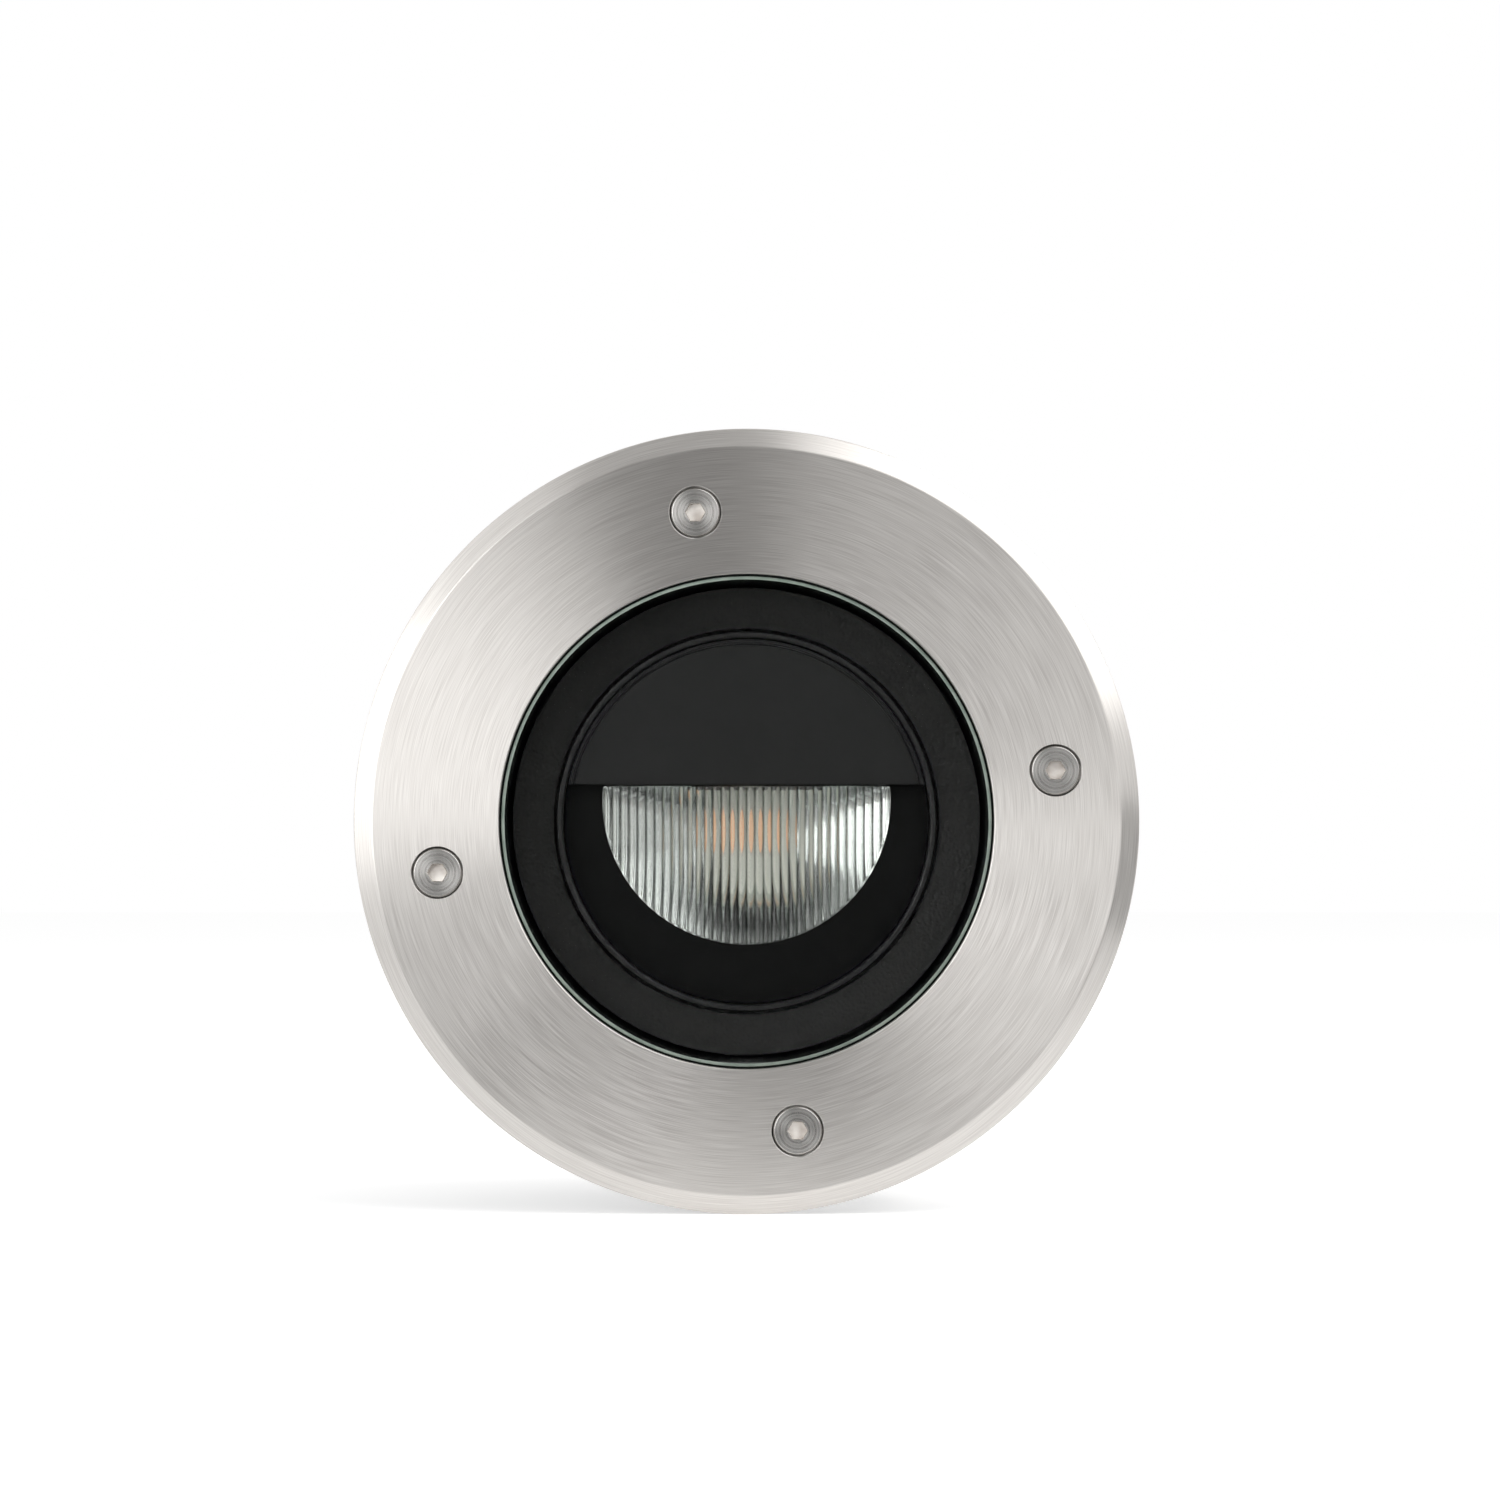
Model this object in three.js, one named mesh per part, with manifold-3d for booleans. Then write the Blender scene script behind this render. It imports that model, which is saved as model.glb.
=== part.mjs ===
// Recessed wall washer light: a stainless bezel and a stepped glass pane on a finned pot,
// with a half-moon optic that turns behind the glass.
// Millimetres, +Z up, face towards -Y. The origin is the centre of the bezel's back face,
// which lies on the wall surface, and +Y runs into the wall.

import * as THREE from "three";
import { mergeVertices } from "three/addons/utils/BufferGeometryUtils.js";
import Module from "manifold-3d";

const wasm = await Module();
wasm.setup();

// Clearances and cuts
const seatGap = 0.3;
const overrun = 1;

// Sides of the round faces
const fineSides = 60;
const roundSides = 40;
const midSides = 24;
const smallSides = 16;
const tinySides = 10;
const hexSides = 6;
const arcSteps = 18;
const leadSides = 8;
const fullTurn = 360;
const halfTurn = fullTurn / 2;

// Bezel
const bezel = {
  width: 34.3,
  glassGap: 0.6,
  thickness: 5,
  chamferWidth: 4.5,
  chamferDepth: 3.2,
  edgeBreak: 0.3,
  registerDepth: 0.7,
  wallLap: 10.2,
};

// Countersunk screws in the bezel
const bezelScrew = {
  count: 4,
  turn: 9.4,
  edgeDistance: 18.9,
  headRadius: 5.8,
  headEdge: 0.35,
  headRecess: 0.1,
  shaftRadius: 3,
  length: 22,
  tipChamfer: 0.5,
  socketWidth: 4,
  socketDepth: 2,
  socketChamfer: 0.25,
};

// Stepped glass pane and its gasket
const glass = {
  flangeWidth: 6.6,
  thickness: 12,
  bevel: 0.75,
  edgeBreak: 0.5,
  recess: 0.3,
};
const gasket = {
  lip: 1.2,
  wall: 1.2,
  inset: 0.8,
};

// Pot
const housing = {
  rimChamfer: 1,
  seatWidth: 6.6,
  seatThickness: 3.2,
  wall: 3.5,
  depth: 113,
  floor: 5,
  backChamfer: 4,
  finCount: 24,
  finHeight: 9,
  finThickness: 2.4,
  finEnd: 100,
};

// Grained plate round the optic
const trim = {
  width: 9.8,
  wallGap: 2.15,
  cupGap: 0.6,
  thickness: 2,
  drop: 1.9,
  edgeBreak: 0.4,
  pinRadius: 1.5,
  pinLength: 8,
  pinInset: 2.95,
  pinCount: 3,
  pinTurn: 30,
};

// Turning cup of the optic
const cup = {
  radius: 45.05,
  rimWidth: 1.55,
  wall: 4.05,
  proud: 0.4,
  depth: 35.4,
  floor: 5,
  ledgeDepth: 8.2,
  edgeBreak: 0.3,
  hubRadius: 24,
  hubWall: 4,
  hubLength: 8,
};

// Half-disc shield and the disc with the half-moon window
const shield = {
  edgeZ: 8.7,
  thickness: 1.5,
  drop: 0.4,
  grooveInset: 1.2,
  grooveWidth: 0.4,
  grooveDepth: 0.5,
};
const mask = {
  thickness: 2,
  border: 9.15,
  windowCentreZ: 5,
  topLap: 0.5,
};

// Ribbed lens
const lens = {
  flange: 2,
  lap: 2.15,
  ribPitch: 2,
  ribHeight: 0.7,
  ribSteps: 4,
  blockHeight: 1.5,
};

// Swivel of the cup in the carrier plate
const swivel = {
  limit: 165,
  ringThickness: 1,
  ringInset: 1.05,
  ringWidth: 6.5,
  pinRadius: 2,
  pinInset: 4.5,
  pinAngle: 270,
  grooveDepth: 3,
};
const carrier = {
  wallGap: 0.6,
  thickness: 2,
  screwInset: 7,
  screwCount: 3,
  screwTurn: 90,
};

// Finishes
const brushedSteel = { color: 0xbdb9b3, roughness: 0.34, metalness: 1 };
const plainSteel = { color: 0xc4c2bd, roughness: 0.25, metalness: 1 };
const clearGlass = { color: 0xdfe8e2, roughness: 0.03, metalness: 0, transparent: true, opacity: 0.3 };
const greySilicone = { color: 0x4a4b49, roughness: 0.7, metalness: 0 };
const castCoating = { color: 0x2e2f30, roughness: 0.6, metalness: 0.2 };
const grainedBlack = { color: 0x232422, roughness: 0.55, metalness: 0.1 };
const satinBlack = { color: 0x1a1a1a, roughness: 0.45, metalness: 0.1 };
const clearLens = { color: 0xe8ece6, roughness: 0.05, metalness: 0, transparent: true, opacity: 0.5 };
const mirrorAluminium = { color: 0xe6e6e3, roughness: 0.12, metalness: 1 };
const bareAluminium = { color: 0xa9abac, roughness: 0.45, metalness: 1 };
const ledPhosphor = { color: 0xe0b060, roughness: 0.5, metalness: 0 };
const whiteBoard = { color: 0xe9e9e4, roughness: 0.4, metalness: 0 };
const whitePlastic = { color: 0xe6e5df, roughness: 0.5, metalness: 0 };
const greyPad = { color: 0x9aa3a8, roughness: 0.8, metalness: 0 };
const bronze = { color: 0xb08a4a, roughness: 0.4, metalness: 1 };
const springSteel = { color: 0x9d9a94, roughness: 0.3, metalness: 1 };
const blackRubber = { color: 0x161616, roughness: 0.8, metalness: 0 };
const nickelBrass = { color: 0xb9b4a6, roughness: 0.25, metalness: 1 };
const whiteSheath = { color: 0xdcdcd6, roughness: 0.6, metalness: 0 };
const brownSheath = { color: 0x5a3620, roughness: 0.6, metalness: 0 };
const blueSheath = { color: 0x2a4f9a, roughness: 0.6, metalness: 0 };
const greenSheath = { color: 0x4f9a3a, roughness: 0.6, metalness: 0 };
const greenBoard = { color: 0x2f6b3f, roughness: 0.5, metalness: 0 };

// A closed mesh as a solid that can be joined and cut
function solid(geometry) {
  const bare = geometry.clone();
  bare.deleteAttribute("normal");
  bare.deleteAttribute("uv");
  const merged = mergeVertices(bare);
  return new wasm.Manifold(new wasm.Mesh({
    numProp: 3,
    vertProperties: new Float32Array(merged.attributes.position.array),
    triVerts: new Uint32Array(merged.index.array),
  }));
}

// A solid as a mesh geometry again
function geometryOf(body) {
  const mesh = body.getMesh();
  const geometry = new THREE.BufferGeometry();
  geometry.setAttribute("position", new THREE.BufferAttribute(mesh.vertProperties, 3));
  geometry.setIndex(new THREE.BufferAttribute(mesh.triVerts, 1));
  return geometry;
}

function join(...shapes) {
  return geometryOf(shapes.map(solid).reduce((sum, next) => sum.add(next)));
}

function cut(shape, ...tools) {
  return geometryOf(tools.map(solid).reduce((rest, tool) => rest.subtract(tool), solid(shape)));
}

function common(shape, other) {
  return geometryOf(solid(shape).intersect(solid(other)));
}

function radians(degrees) {
  return THREE.MathUtils.degToRad(degrees);
}

// A place [x, z] round the main axis, counter-clockwise from +X as seen from the front
function polar(radius, degrees) {
  return [radius * Math.cos(radians(degrees)), radius * Math.sin(radians(degrees))];
}

// Evenly spread angles of a repeated piece, in degrees
function spread(count, turn) {
  return Array.from({ length: count }, (_, index) => turn + (index * fullTurn) / count);
}

// A body turned about the main axis, from [radius, y] points in counter-clockwise order
function turned(points, sides = fineSides) {
  const profile = points.map(([radius, y]) => new THREE.Vector2(radius, y));
  if (points[0][0] > 0) {
    profile.push(profile[0].clone());
  }
  return new THREE.LatheGeometry(profile, sides);
}

function ring(innerRadius, outerRadius, frontY, backY, sides = fineSides) {
  return turned([
    [innerRadius, frontY],
    [outerRadius, frontY],
    [outerRadius, backY],
    [innerRadius, backY],
  ], sides);
}

function cone(frontRadius, backRadius, frontY, backY, [x, z] = [0, 0], sides = smallSides) {
  const shape = new THREE.CylinderGeometry(backRadius, frontRadius, backY - frontY, sides);
  return shape.translate(x, (frontY + backY) / 2, z);
}

function rod(radius, frontY, backY, place = [0, 0], sides = smallSides) {
  return cone(radius, radius, frontY, backY, place, sides);
}

function block(width, height, frontY, backY, [x, z] = [0, 0]) {
  return new THREE.BoxGeometry(width, backY - frontY, height).translate(x, (frontY + backY) / 2, z);
}

// A rod along X or along Z, from one place on that axis to the other
function rodAlongX(radius, fromX, toX, y, z, sides = tinySides) {
  const shape = new THREE.CylinderGeometry(radius, radius, toX - fromX, sides);
  return shape.rotateZ(Math.PI / 2).translate((fromX + toX) / 2, y, z);
}

function rodAlongZ(radius, fromZ, toZ, x, y, sides = tinySides) {
  const shape = new THREE.CylinderGeometry(radius, radius, toZ - fromZ, sides);
  return shape.rotateX(Math.PI / 2).translate(x, y, (fromZ + toZ) / 2);
}

// A plate cut to an outline that is drawn in x and z as seen from the front
function plate(outline, frontY, backY) {
  const options = { depth: backY - frontY, bevelEnabled: false, curveSegments: arcSteps };
  return new THREE.ExtrudeGeometry(outline, options).rotateX(Math.PI / 2).translate(0, backY, 0);
}

// A wedge about the main axis, to keep or cut one sector
function sector(halfAngle, centreAngle, radius, frontY, backY) {
  const corners = [centreAngle - halfAngle, centreAngle, centreAngle + halfAngle];
  const outline = new THREE.Shape([
    new THREE.Vector2(0, 0),
    ...corners.map((angle) => new THREE.Vector2(...polar(radius, angle))),
  ]);
  return plate(outline, frontY, backY);
}

// A shape built on +X, turned to its angle round the main axis
function turnedTo(degrees, shape) {
  return shape.rotateY(-radians(degrees));
}

// A round lead through hand-chosen points
function lead(points, radius, steps) {
  const route = new THREE.CatmullRomCurve3(points.map((point) => new THREE.Vector3(...point)));
  const section = new THREE.Shape().absarc(0, 0, radius, 0, Math.PI * 2);
  return new THREE.ExtrudeGeometry(section, { steps, extrudePath: route, curveSegments: leadSides / 2 });
}

// A countersunk, hexagon-socket screw with its head's face at y = 0
function countersunkScrew(size) {
  const coneEnd = size.headEdge + size.headRadius - size.shaftRadius;
  const body = turned([
    [0, 0],
    [size.headRadius - size.headEdge, 0],
    [size.headRadius, size.headEdge],
    [size.shaftRadius, coneEnd],
    [size.shaftRadius, size.length - size.tipChamfer],
    [size.shaftRadius - size.tipChamfer, size.length],
    [0, size.length],
  ], smallSides);
  const socketRadius = size.socketWidth / Math.sqrt(3);
  const socket = rod(socketRadius, -overrun, size.socketDepth, [0, 0], hexSides);
  const mouth = cone(
    socketRadius + size.socketChamfer + overrun,
    socketRadius - size.socketChamfer,
    -overrun,
    2 * size.socketChamfer,
    [0, 0],
    smallSides,
  );
  return cut(body, socket, mouth);
}

// A pan-head, hexagon-socket screw whose head's underside lies at y = 0
function panScrew(size) {
  const body = turned([
    [0, -size.headHeight],
    [size.headRadius - size.headEdge, -size.headHeight],
    [size.headRadius, size.headEdge - size.headHeight],
    [size.headRadius, 0],
    [size.shaftRadius, 0],
    [size.shaftRadius, size.shaftLength],
    [0, size.shaftLength],
  ], tinySides);
  const socketRadius = size.socketWidth / Math.sqrt(3);
  const socketEnd = size.socketDepth - size.headHeight;
  return cut(body, rod(socketRadius, -size.headHeight - overrun, socketEnd, [0, 0], hexSides));
}

const m3 = {
  shaftRadius: 1.5,
  shaftLength: 8,
  headRadius: 2.75,
  headHeight: 1.6,
  headEdge: 0.4,
  socketWidth: 2,
  socketDepth: 1,
};
const m4 = {
  shaftRadius: 2,
  shaftLength: 10,
  headRadius: 3.6,
  headHeight: 2.2,
  headEdge: 0.5,
  socketWidth: 2.5,
  socketDepth: 1.3,
};

const light = new THREE.Group();
const optic = new THREE.Group();
light.add(optic);

function piece(parent, name, geometry, finish) {
  const mesh = new THREE.Mesh(geometry, new THREE.MeshStandardMaterial(finish));
  mesh.name = name;
  parent.add(mesh);
  return mesh;
}

// Radii of the round pieces, from the turning cup outwards
const trimInnerRadius = cup.radius + trim.cupGap;
const trimOuterRadius = trimInnerRadius + trim.width;
const cavityRadius = trimOuterRadius + trim.wallGap;
const glassFlangeRadius = cavityRadius + housing.seatWidth;
const glassTopRadius = glassFlangeRadius - glass.flangeWidth;
const gasketInnerWall = glassFlangeRadius + seatGap;
const gasketOuterWall = gasketInnerWall + gasket.wall;
const bezelOpeningRadius = glassTopRadius + bezel.glassGap;
const gasketInnerRadius = bezelOpeningRadius + gasket.inset;
const bezelRadius = bezelOpeningRadius + bezel.width;
const screwCircleRadius = bezelRadius - bezelScrew.edgeDistance;
const registerRadius = bezelRadius - bezel.wallLap;
const rimRadius = registerRadius - seatGap;
const trimPinCircleRadius = trimOuterRadius - trim.pinInset;
const cupMouthRadius = cup.radius - cup.rimWidth;
const cupInnerRadius = cup.radius - cup.wall;
const windowRadius = cupMouthRadius - mask.border;
const windowTopZ = shield.edgeZ + mask.topLap;
const swivelRingOuterRadius = cup.radius - swivel.ringInset;
const swivelRingInnerRadius = swivelRingOuterRadius - swivel.ringWidth;
const stopPinCircleRadius = swivelRingInnerRadius - swivel.pinInset;
const carrierRadius = cavityRadius - carrier.wallGap;
const carrierScrewCircleRadius = carrierRadius - carrier.screwInset;

// Places along the main axis, from the bezel's face inwards
const bezelFrontY = -bezel.thickness;
const glassFrontY = bezelFrontY + glass.recess;
const bezelSeatY = -bezel.registerDepth;
const gasketFrontY = bezelSeatY + seatGap;
const glassStepY = gasketFrontY + gasket.lip + seatGap;
const glassBackY = glassFrontY + glass.thickness;
const seatY = glassBackY + seatGap + gasket.lip + seatGap;
const rimFrontY = bezelSeatY + seatGap;
const rimBackY = seatY + housing.seatThickness;
const floorY = housing.depth - housing.floor;
const trimFrontY = seatY + trim.drop;
const trimBackY = trimFrontY + trim.thickness;
const cupFrontY = trimFrontY - cup.proud;
const cupBackY = cupFrontY + cup.depth;
const cupFloorY = cupBackY - cup.floor;
const ledgeY = cupFrontY + cup.ledgeDepth;
const maskBackY = ledgeY - seatGap;
const maskFrontY = maskBackY - mask.thickness;
const shieldFrontY = cupFrontY + shield.drop;
const shieldBackY = shieldFrontY + shield.thickness;
const lensFrontY = maskBackY + seatGap;
const lensBackY = lensFrontY + lens.flange;
const swivelRingY = cupBackY + seatGap;
const carrierFrontY = swivelRingY + swivel.ringThickness + seatGap;
const carrierBackY = carrierFrontY + carrier.thickness;
const hubEndY = cupBackY + cup.hubLength;

// Bezel ring, with a countersunk hole for each screw and a register for the pot's rim behind
const screwPlaces = spread(bezelScrew.count, bezelScrew.turn)
  .map((angle) => polar(screwCircleRadius, angle));
const bezelBlank = turned([
  [bezelOpeningRadius, bezelFrontY + bezel.edgeBreak],
  [bezelOpeningRadius + bezel.edgeBreak, bezelFrontY],
  [bezelRadius - bezel.chamferWidth, bezelFrontY],
  [bezelRadius, bezelFrontY + bezel.chamferDepth],
  [bezelRadius, 0],
  [registerRadius, 0],
  [registerRadius, bezelSeatY],
  [bezelOpeningRadius, bezelSeatY],
]);
const countersinkRadius = bezelScrew.headRadius + seatGap;
const countersinkLandY = bezelFrontY + bezelScrew.headRecess + bezelScrew.headEdge;
const shaftHoleRadius = bezelScrew.shaftRadius + seatGap;
const bezelHoles = screwPlaces.flatMap((place) => [
  rod(shaftHoleRadius, bezelFrontY, overrun, place),
  rod(countersinkRadius, bezelFrontY - overrun, countersinkLandY, place, midSides),
  cone(
    countersinkRadius,
    shaftHoleRadius,
    countersinkLandY,
    countersinkLandY + countersinkRadius - shaftHoleRadius,
    place,
    midSides,
  ),
]);
piece(light, "bezel_ring", cut(bezelBlank, ...bezelHoles), brushedSteel);

screwPlaces.forEach(([x, z], index) => {
  const screw = piece(light, `bezel_screw_${index + 1}`, countersunkScrew(bezelScrew), plainSteel);
  screw.position.set(x, bezelFrontY + bezelScrew.headRecess, z);
});

// Glass pane: a top disc that fills the bezel's opening, on a wider flange
piece(light, "front_glass", turned([
  [0, glassFrontY],
  [glassTopRadius - glass.bevel, glassFrontY],
  [glassTopRadius, glassFrontY + glass.bevel],
  [glassTopRadius, glassStepY],
  [glassFlangeRadius - glass.edgeBreak, glassStepY],
  [glassFlangeRadius, glassStepY + glass.edgeBreak],
  [glassFlangeRadius, glassBackY - glass.edgeBreak],
  [glassFlangeRadius - glass.edgeBreak, glassBackY],
  [0, glassBackY],
]), clearGlass);

// Gasket of U section round the pane's flange
const gasketBackY = glassBackY + seatGap + gasket.lip;
piece(light, "glass_gasket", turned([
  [gasketInnerRadius, gasketFrontY],
  [gasketOuterWall, gasketFrontY],
  [gasketOuterWall, gasketBackY],
  [gasketInnerRadius, gasketBackY],
  [gasketInnerRadius, gasketBackY - gasket.lip],
  [gasketInnerWall, gasketBackY - gasket.lip],
  [gasketInnerWall, gasketFrontY + gasket.lip],
  [gasketInnerRadius, gasketFrontY + gasket.lip],
], roundSides), greySilicone);

// Grained plate on three welded pins
const trimPinAngles = spread(trim.pinCount, trim.pinTurn);
const trimPins = trimPinAngles.map((angle) => rod(
  trim.pinRadius,
  trimBackY - trim.thickness / 2,
  trimBackY + trim.pinLength,
  polar(trimPinCircleRadius, angle),
  tinySides,
));
const trimBlank = turned([
  [trimInnerRadius, trimFrontY + trim.edgeBreak],
  [trimInnerRadius + trim.edgeBreak, trimFrontY],
  [trimOuterRadius - trim.edgeBreak, trimFrontY],
  [trimOuterRadius, trimFrontY + trim.edgeBreak],
  [trimOuterRadius, trimBackY],
  [trimInnerRadius, trimBackY],
]);
piece(light, "trim_plate", join(trimBlank, ...trimPins), grainedBlack);

// Places on the pot's floor
const layout = {
  fittingX: 18,
  fittingZ: -36,
  terminalX: -14,
  earthX: 22,
  terminalZ: 36,
};
const glandPlace = [layout.fittingX, layout.fittingZ];
const ventPlace = [-layout.fittingX, layout.fittingZ];
const terminalPlace = [layout.terminalX, layout.terminalZ];
const earthPlace = [layout.earthX, layout.terminalZ];

// Driver box, centred on the main axis
const driver = {
  width: 76,
  height: 40,
  depth: 20,
  wall: 1.6,
  baseThickness: 1.5,
  tabLength: 9,
  tabHeight: 12,
  screwInset: 4,
  standoff: 3,
  outputInset: 6,
  inputZ: 6,
};
const driverBaseBackY = floorY - driver.standoff - seatGap;
const driverBaseFrontY = driverBaseBackY - driver.baseThickness;
const driverCaseBackY = driverBaseFrontY - seatGap;
const driverCaseFrontY = driverCaseBackY - driver.depth;
const driverTabReach = driver.width / 2 + driver.tabLength;
const driverScrewReach = driverTabReach - driver.screwInset;
const driverScrewPlaces = [[-driverScrewReach, 0], [driverScrewReach, 0]];
const driverOutputX = driver.width / 2 - driver.outputInset;

// Cable gland and pressure plug
const pad = {
  height: 2,
  glandMargin: 2,
  ventMargin: 1.6,
};
const gland = {
  threadRadius: 10,
  hexLap: 3.5,
  hexHeight: 5,
  neckStep: 0.8,
  neckLength: 9,
  boreWall: 4,
  sealPocketWall: 1.5,
  sealPocketDepth: 8.5,
  innerReach: 6,
  oringWidth: 2.1,
  oringThickness: 1.5,
};
const gripSeal = {
  wall: 2.9,
  proud: 0.8,
};
const capNut = {
  wall: 3.5,
  entryRadius: 5.6,
  domeHeight: 2.5,
  domeRadius: 8.5,
};
const vent = {
  threadRadius: 6,
  threadLength: 7,
  headLap: 2.4,
  headHeight: 4.5,
  headEdge: 0.8,
  oringWidth: 1.6,
  oringThickness: 1.2,
  holeRadius: 0.8,
  holeCircleRadius: 4,
  holeDepth: 2.5,
  holeCount: 4,
};
const glandHexRadius = gland.threadRadius + gland.hexLap;
const glandNeckRadius = gland.threadRadius - gland.neckStep;
const sealPocketRadius = glandNeckRadius - gland.sealPocketWall;
const glandPadRadius = glandHexRadius + pad.glandMargin;
const capHexRadius = glandNeckRadius + seatGap + capNut.wall;
const ventHeadRadius = vent.threadRadius + vent.headLap;
const ventPadRadius = ventHeadRadius + pad.ventMargin;
const padBackY = housing.depth + pad.height;

// Retaining springs on the pot's outside
const spring = {
  count: 3,
  turn: 60,
  width: 12,
  thickness: 0.8,
  footLength: 18,
  reachPast: 4.5,
  bellyY: 44,
  tipInset: 2,
  tipY: 29,
  curveSteps: 8,
  padHeight: 4.5,
  padWidth: 16,
  screwSetback: 9,
  holeDepth: 5.5,
};
const springAngles = spread(spring.count, spring.turn);
const potRadius = cavityRadius + housing.wall;
const padRadius = potRadius + spring.padHeight;
const springPadEndY = housing.finEnd + spring.thickness;
const springFootEndY = housing.finEnd;
const springFootFrontY = springFootEndY - spring.footLength;
const springScrewY = springFootEndY - spring.screwSetback;

// Pot: rim with the glass seat, cavity, back wall, fins, bosses and inner posts
const post = {
  pinCover: 3.5,
  width: 8,
  bossRadius: 4.5,
  webWidth: 4,
};
const rimBoss = {
  radius: 7,
  floor: 3,
  webWidth: 6,
};
const floorBoss = {
  driverRadius: 4,
  earthRadius: 4.5,
  earthHeight: 5,
  holeDepth: 6.5,
};
const m4HoleRadius = m4.shaftRadius + seatGap;
const m3HoleRadius = m3.shaftRadius + seatGap;
const wallSink = housing.wall / 2;
const rimHoleEndY = bezelFrontY + bezelScrew.headRecess + bezelScrew.length + seatGap;
const rimBossEndY = rimHoleEndY + rimBoss.floor;
const postInnerRadius = trimPinCircleRadius - post.pinCover;

const potBlank = turned([
  [0, floorY],
  [cavityRadius, floorY],
  [cavityRadius, seatY],
  [gasketOuterWall + seatGap, seatY],
  [gasketOuterWall + seatGap, rimFrontY],
  [rimRadius, rimFrontY],
  [rimRadius, rimBackY - housing.rimChamfer],
  [rimRadius - housing.rimChamfer, rimBackY],
  [potRadius, rimBackY],
  [potRadius, housing.depth - housing.backChamfer],
  [potRadius - housing.backChamfer, housing.depth],
  [0, housing.depth],
]);

const finAngles = spread(housing.finCount, 0).filter((angle) => !springAngles.includes(angle));
const finInnerRadius = potRadius - wallSink;
const finOuterRadius = potRadius + housing.finHeight;
const fins = finAngles.map((angle) => turnedTo(angle, block(
  finOuterRadius - finInnerRadius,
  housing.finThickness,
  rimBackY - overrun,
  housing.finEnd,
  [(finOuterRadius + finInnerRadius) / 2, 0],
)));

const rimBossAngles = spread(bezelScrew.count, bezelScrew.turn);
const rimBosses = rimBossAngles.flatMap((angle) => [
  rod(rimBoss.radius, rimBackY - overrun, rimBossEndY, polar(screwCircleRadius, angle)),
  turnedTo(angle, block(
    screwCircleRadius - finInnerRadius,
    rimBoss.webWidth,
    rimBackY - overrun,
    (rimBackY + rimBossEndY) / 2,
    [(screwCircleRadius + finInnerRadius) / 2, 0],
  )),
]);
const rimHoles = screwPlaces.map((place) => rod(
  shaftHoleRadius,
  rimFrontY - overrun,
  rimHoleEndY,
  place,
));

const postOuterRadius = cavityRadius + wallSink;
const trimPostTopY = trimBackY + seatGap;
const trimPosts = trimPinAngles.map((angle) => turnedTo(angle, block(
  postOuterRadius - postInnerRadius,
  post.width,
  trimPostTopY,
  floorY + overrun,
  [(postOuterRadius + postInnerRadius) / 2, 0],
)));
const trimPinHoles = trimPinAngles.map((angle) => rod(
  trim.pinRadius + seatGap,
  trimPostTopY - overrun,
  trimBackY + trim.pinLength + overrun,
  polar(trimPinCircleRadius, angle),
  tinySides,
));

const carrierScrewAngles = spread(carrier.screwCount, carrier.screwTurn);
const carrierScrewPlaces = carrierScrewAngles.map((angle) => polar(carrierScrewCircleRadius, angle));
const carrierPostTopY = carrierBackY + seatGap;
const carrierPosts = carrierScrewAngles.flatMap((angle) => [
  rod(post.bossRadius, carrierPostTopY, floorY + overrun, polar(carrierScrewCircleRadius, angle)),
  turnedTo(angle, block(
    postOuterRadius - carrierScrewCircleRadius,
    post.webWidth,
    carrierPostTopY,
    floorY + overrun,
    [(postOuterRadius + carrierScrewCircleRadius) / 2, 0],
  )),
]);
const carrierPostHoles = carrierScrewPlaces.map((place) => rod(
  m4HoleRadius,
  carrierPostTopY - overrun,
  carrierFrontY + m4.shaftLength + overrun,
  place,
  tinySides,
));

const driverBosses = driverScrewPlaces.map((place) => rod(
  floorBoss.driverRadius,
  floorY - driver.standoff,
  floorY + overrun,
  place,
));
const earthBossTopY = floorY - floorBoss.earthHeight;
const earthBoss = rod(floorBoss.earthRadius, earthBossTopY, floorY + overrun, earthPlace);
const driverHoles = driverScrewPlaces.map((place) => rod(
  m4HoleRadius,
  floorY - driver.standoff - overrun,
  floorY - driver.standoff + floorBoss.holeDepth,
  place,
  tinySides,
));
const earthHole = rod(
  m4HoleRadius,
  earthBossTopY - overrun,
  earthBossTopY + floorBoss.holeDepth,
  earthPlace,
  tinySides,
);

const backPads = [
  rod(glandPadRadius, housing.depth - overrun, padBackY, glandPlace, midSides),
  rod(ventPadRadius, housing.depth - overrun, padBackY, ventPlace, midSides),
];
const backHoles = [
  rod(gland.threadRadius + seatGap, floorY - overrun, padBackY + overrun, glandPlace, midSides),
  rod(vent.threadRadius + seatGap, floorY - overrun, padBackY + overrun, ventPlace, midSides),
];

const springPads = springAngles.map((angle) => turnedTo(angle, block(
  padRadius - finInnerRadius,
  spring.padWidth,
  springFootFrontY - spring.thickness,
  springPadEndY,
  [(padRadius + finInnerRadius) / 2, 0],
)));
const springScrewHoles = springAngles.map((angle) => turnedTo(angle, rodAlongX(
  m4HoleRadius,
  padRadius - spring.holeDepth,
  padRadius + overrun,
  springScrewY,
  0,
)));

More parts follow.
